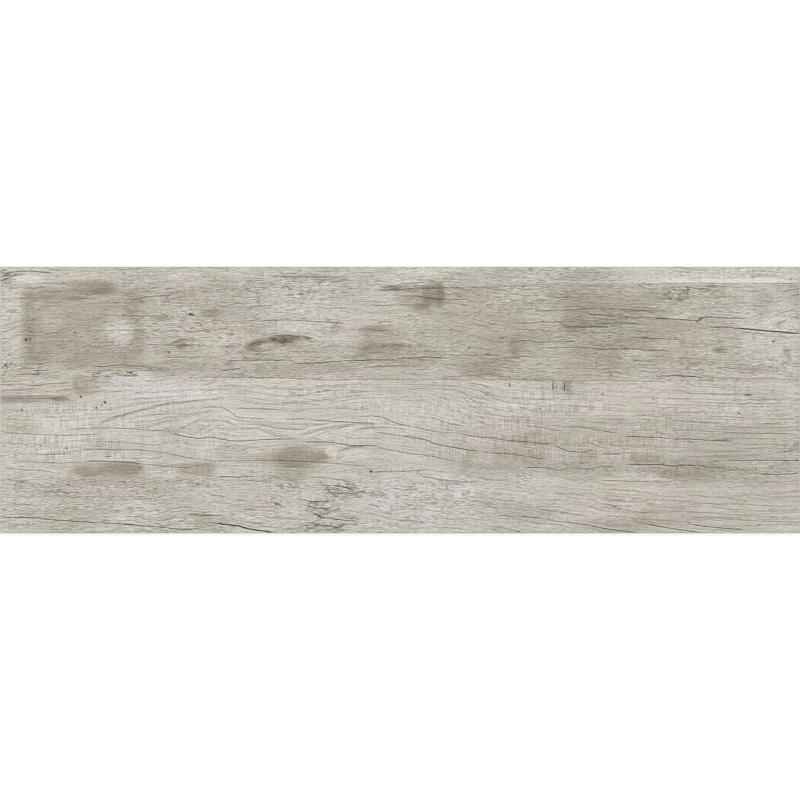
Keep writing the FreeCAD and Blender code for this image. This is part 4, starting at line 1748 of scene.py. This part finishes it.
        colour = shop.ramp(lightness, [(at, from_hex(code)) for at, code in self.ink])
        colour = shop.mixed(tint, colour, self.lilac, "MULTIPLY")
        colour = shop.mixed(1 - tint, colour, self.moss, "MULTIPLY")
        colour = shop.mixed(warmth * 0.5, colour, self.brown, "MULTIPLY")
        leans = zip((Wash.BROWN, Wash.OLIVE, Wash.PINK, Wash.COOL),
                    (self.brown, self.olive, self.pink, self.cool))
        for kind, lean in leans:
            colour = shop.mixed(wash[kind].held(), colour, lean, "MULTIPLY")

        height = 2.0 * figures[0] - checks - 0.6 * splits - holes
        return shop.finish(
            Base_Color=colour,
            Roughness=0.63 + 0.5 * figures[0] + 0.1 * checks,
            Specular_IOR_Level=0.4,
            Normal=shop.bump(height, self.bump_reach, 0.6),
        )


@dataclass(frozen=True)
class GroundBody:
    """The porcelain body as the wheels leave it on the edges, with the cut glaze on the bevel.

    Attributes:
        sizes: The plank's sizes.
        body: Colour of the fired body.
        body_dark: Its darker clouds.
        speck: Its coarse grit.
        engobe: The white coat between the body and the glaze.
        glaze: The glaze, cut through.
        glaze_depth: How far down from the face the glaze reaches, in millimetres.
        engobe_depth: How far the coat below it does.
        blend: Over what depth one layer turns into the next.
    """

    sizes: PlankSizes
    body: str = "c3bdb1"
    body_dark: str = "aea79b"
    speck: str = "7d766c"
    engobe: str = "c0bab0"
    glaze: str = "9c958a"
    glaze_depth: float = 0.35
    engobe_depth: float = 0.50
    blend: float = 0.08

    def material(self) -> bpy.types.Material:
        """The edges' material: body colour, wheel lines, specks, and the layers at the top."""
        shop = NodeShop(bpy.data.materials.new("ground_body"))
        place = shop.place()
        _, _, z = shop.split(place)
        cloud = shop.noise(place, (60.0, 60.0, 90.0), 3.0)
        lines = shop.noise(place, (18.0, 18.0, 2600.0), 2.0, 0.6)
        grit = shop.noise(place, (1500.0, 1500.0, 1500.0), 1.0)
        shade = (cloud * 0.6 + lines * 0.5).held()
        colour = shop.mixed(shade, from_hex(self.body), from_hex(self.body_dark))
        colour = shop.mixed(grit.rise(0.66, 0.72) * 0.6, colour, from_hex(self.speck))
        depth = self.sizes.thickness - z * PER_METRE + 0.12 * (cloud - 0.5)
        layers = ((self.engobe_depth, self.engobe), (self.glaze_depth, self.glaze))
        for reach, code in layers:
            colour = shop.mixed(depth.rise(reach, reach - self.blend), colour, from_hex(code))
        return shop.finish(
            Base_Color=colour,
            Roughness=0.5 + 0.2 * lines,
            Specular_IOR_Level=0.45,
            Normal=shop.bump(lines + 0.4 * grit, 0.06 * MM, 0.4),
        )


@dataclass(frozen=True)
class PressedBack:
    """The unglazed back: kiln wash on the ribs and the rim, bare body in the keys.

    Attributes:
        body: Colour of the fired body.
        body_dark: Its darker clouds.
        wash: The kiln wash.
        wash_height: How far up the keys' walls the wash reaches, in millimetres.
    """

    body: str = "b5ada1"
    body_dark: str = "9b9388"
    wash: str = "dcd8cf"
    wash_height: float = 0.25

    def material(self) -> bpy.types.Material:
        """The back's material, which tells the rib crests from the keys by height."""
        shop = NodeShop(bpy.data.materials.new("pressed_back"))
        place = shop.place()
        _, _, z = shop.split(place)
        cloud = shop.noise(place, (14.0, 14.0, 1.0), 4.0, 0.6)
        grain = shop.noise(place, (900.0, 900.0, 900.0), 2.0, 0.6)
        roller = shop.noise(place, (8.0, 160.0, 1.0), 3.0, 0.6)
        colour = shop.mixed(
            (0.6 * cloud + 0.5 * grain).held(), from_hex(self.body), from_hex(self.body_dark)
        )
        crest = (z * PER_METRE).rise(self.wash_height, self.wash_height * 0.3)
        worn = 0.62 + 0.35 * (0.5 * cloud + 0.7 * roller + 0.3 * grain - 0.75)
        colour = shop.mixed(crest * worn.held(), colour, from_hex(self.wash))
        return shop.finish(
            Base_Color=colour,
            Roughness=0.82 + 0.1 * grain,
            Specular_IOR_Level=0.3,
            Normal=shop.bump(grain, 0.12 * MM, 0.5),
        )


@dataclass
class Plank:
    """The plank: its skin and its three finishes.

    Attributes:
        sizes: The plank's sizes.
    """

    sizes: PlankSizes

    def make(self) -> bpy.types.Object:
        """Builds the plank's piece and ties it to the frame.

        Returns:
            The piece that stands for the node.
        """
        skin = PlankSkin(self.sizes).build()
        finishes = (PrintedGlaze(self.sizes), GroundBody(self.sizes), PressedBack())
        piece = skin.build("fired_plank", [finish.material() for finish in finishes])
        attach(piece, BODY)
        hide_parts(NODE)
        log.info("%s: %d faces", piece.name, len(piece.data.polygons))
        return piece


@dataclass
class Studio:
    """The pale floor, the soft light and the camera straight above.

    Attributes:
        sizes: The plank's sizes.
        lens: The camera's lens, long, so that the far and near edges look alike.
        sensor: Its sensor's width.
        floor_reach: Half size of the floor, in metres.
        floor_drop: How far the floor lies below the plank, in millimetres.
        sky: Strength of the even light from all round.
        sun: Strength of the soft lamp.
        sun_spread: How wide the lamp looks, in degrees.
        sun_turn: How far it is turned about X and about Y, in degrees.
    """

    sizes: PlankSizes
    lens: float = 120.0
    sensor: float = 36.0
    floor_reach: float = 12.0
    floor_drop: float = 0.05
    sky: float = 0.72
    sun: float = 0.86
    sun_spread: float = 35.0
    sun_turn: tuple[float, float] = (-25.0, -17.0)

    def floor(self) -> bpy.types.Object:
        """A white floor that keeps the plank's shadow, seen from above only."""
        reach = self.floor_reach
        corners = np.array([(-1, -1, 0), (1, -1, 0), (1, 1, 0), (-1, 1, 0)]) * reach
        corners[:, 2] = -self.floor_drop * MM
        mesh = bpy.data.meshes.new("floor")
        mesh.from_pydata(corners.tolist(), [], [(0, 1, 2, 3)])
        piece = bpy.data.objects.new("floor", mesh)
        bpy.context.scene.collection.objects.link(piece)
        piece.visible_diffuse = False
        piece.visible_shadow = False
        mesh.materials.append(self.floor_material())
        return piece

    def floor_material(self) -> bpy.types.Material:
        """Part matt white that takes the shadow, part white to the camera."""
        shop = NodeShop(bpy.data.materials.new("floor"))
        seen = shop.make("ShaderNodeLightPath", {}, {}, "Is Camera Ray")
        gloss = shop.make("ShaderNodeLightPath", {}, {}, "Is Glossy Ray")
        shop.finish(
            Base_Color=(0.42, 0.42, 0.42),
            Roughness=1.0,
            Specular_IOR_Level=0.0,
            Emission_Color=(1.0, 1.0, 1.0),
            Emission_Strength=0.66 * seen.at_least(gloss),
        )
        below = shop.make("ShaderNodeNewGeometry", {}, {}, "Backfacing")
        clear = shop.make("ShaderNodeBsdfTransparent", {}, {})
        shader = Signal(shop, shop.shader.outputs[0])
        mixed = shop.make("ShaderNodeMixShader", {}, {0: below, 1: shader, 2: clear})
        shop.plug(mixed, shop.tree.nodes["Material Output"].inputs["Surface"])
        return shop.owner

    def light(self) -> None:
        """Even white light from all round and one soft lamp from the upper left."""
        shop = NodeShop(bpy.data.worlds.new("studio"))
        seen = shop.make("ShaderNodeLightPath", {}, {}, "Is Camera Ray")
        inputs = {"Value": seen, "To Min": self.sky, "To Max": 1.0}
        strength = shop.make("ShaderNodeMapRange", {}, inputs, "Result")
        bpy.context.scene.world = shop.finish(Color=(1.0, 1.0, 1.0), Strength=strength)
        lamp = bpy.data.lights.new("soft_lamp", "SUN")
        lamp.energy = self.sun
        lamp.angle = math.radians(self.sun_spread)
        holder = bpy.data.objects.new("soft_lamp", lamp)
        holder.rotation_euler = (*np.radians(self.sun_turn), 0.0)
        bpy.context.scene.collection.objects.link(holder)

    def camera(self) -> None:
        """The camera over the middle, as far up as makes the plank fill the frame."""
        camera = bpy.data.cameras.new("camera")
        camera.lens = self.lens
        camera.sensor_width = self.sensor
        holder = bpy.data.objects.new("camera", camera)
        rise = self.sizes.length * self.lens / self.sensor + self.sizes.thickness
        holder.location = (0.0, 0.0, rise * MM)
        camera.clip_end = 100.0
        bpy.context.scene.collection.objects.link(holder)
        bpy.context.scene.camera = holder

    def make(self) -> None:
        """Sets the whole stage up."""
        self.floor()
        self.light()
        self.camera()
        bpy.context.scene.view_settings.view_transform = "Standard"
        log.info("studio: floor, sky, lamp and camera")


def main() -> None:
    """Builds the plank and its studio."""
    logging.basicConfig(level=logging.INFO, format="%(name)s %(message)s")
    sizes = PlankSizes.from_frame()
    Studio(sizes).make()
    Plank(sizes).make()


if __name__ == "__main__":
    main()
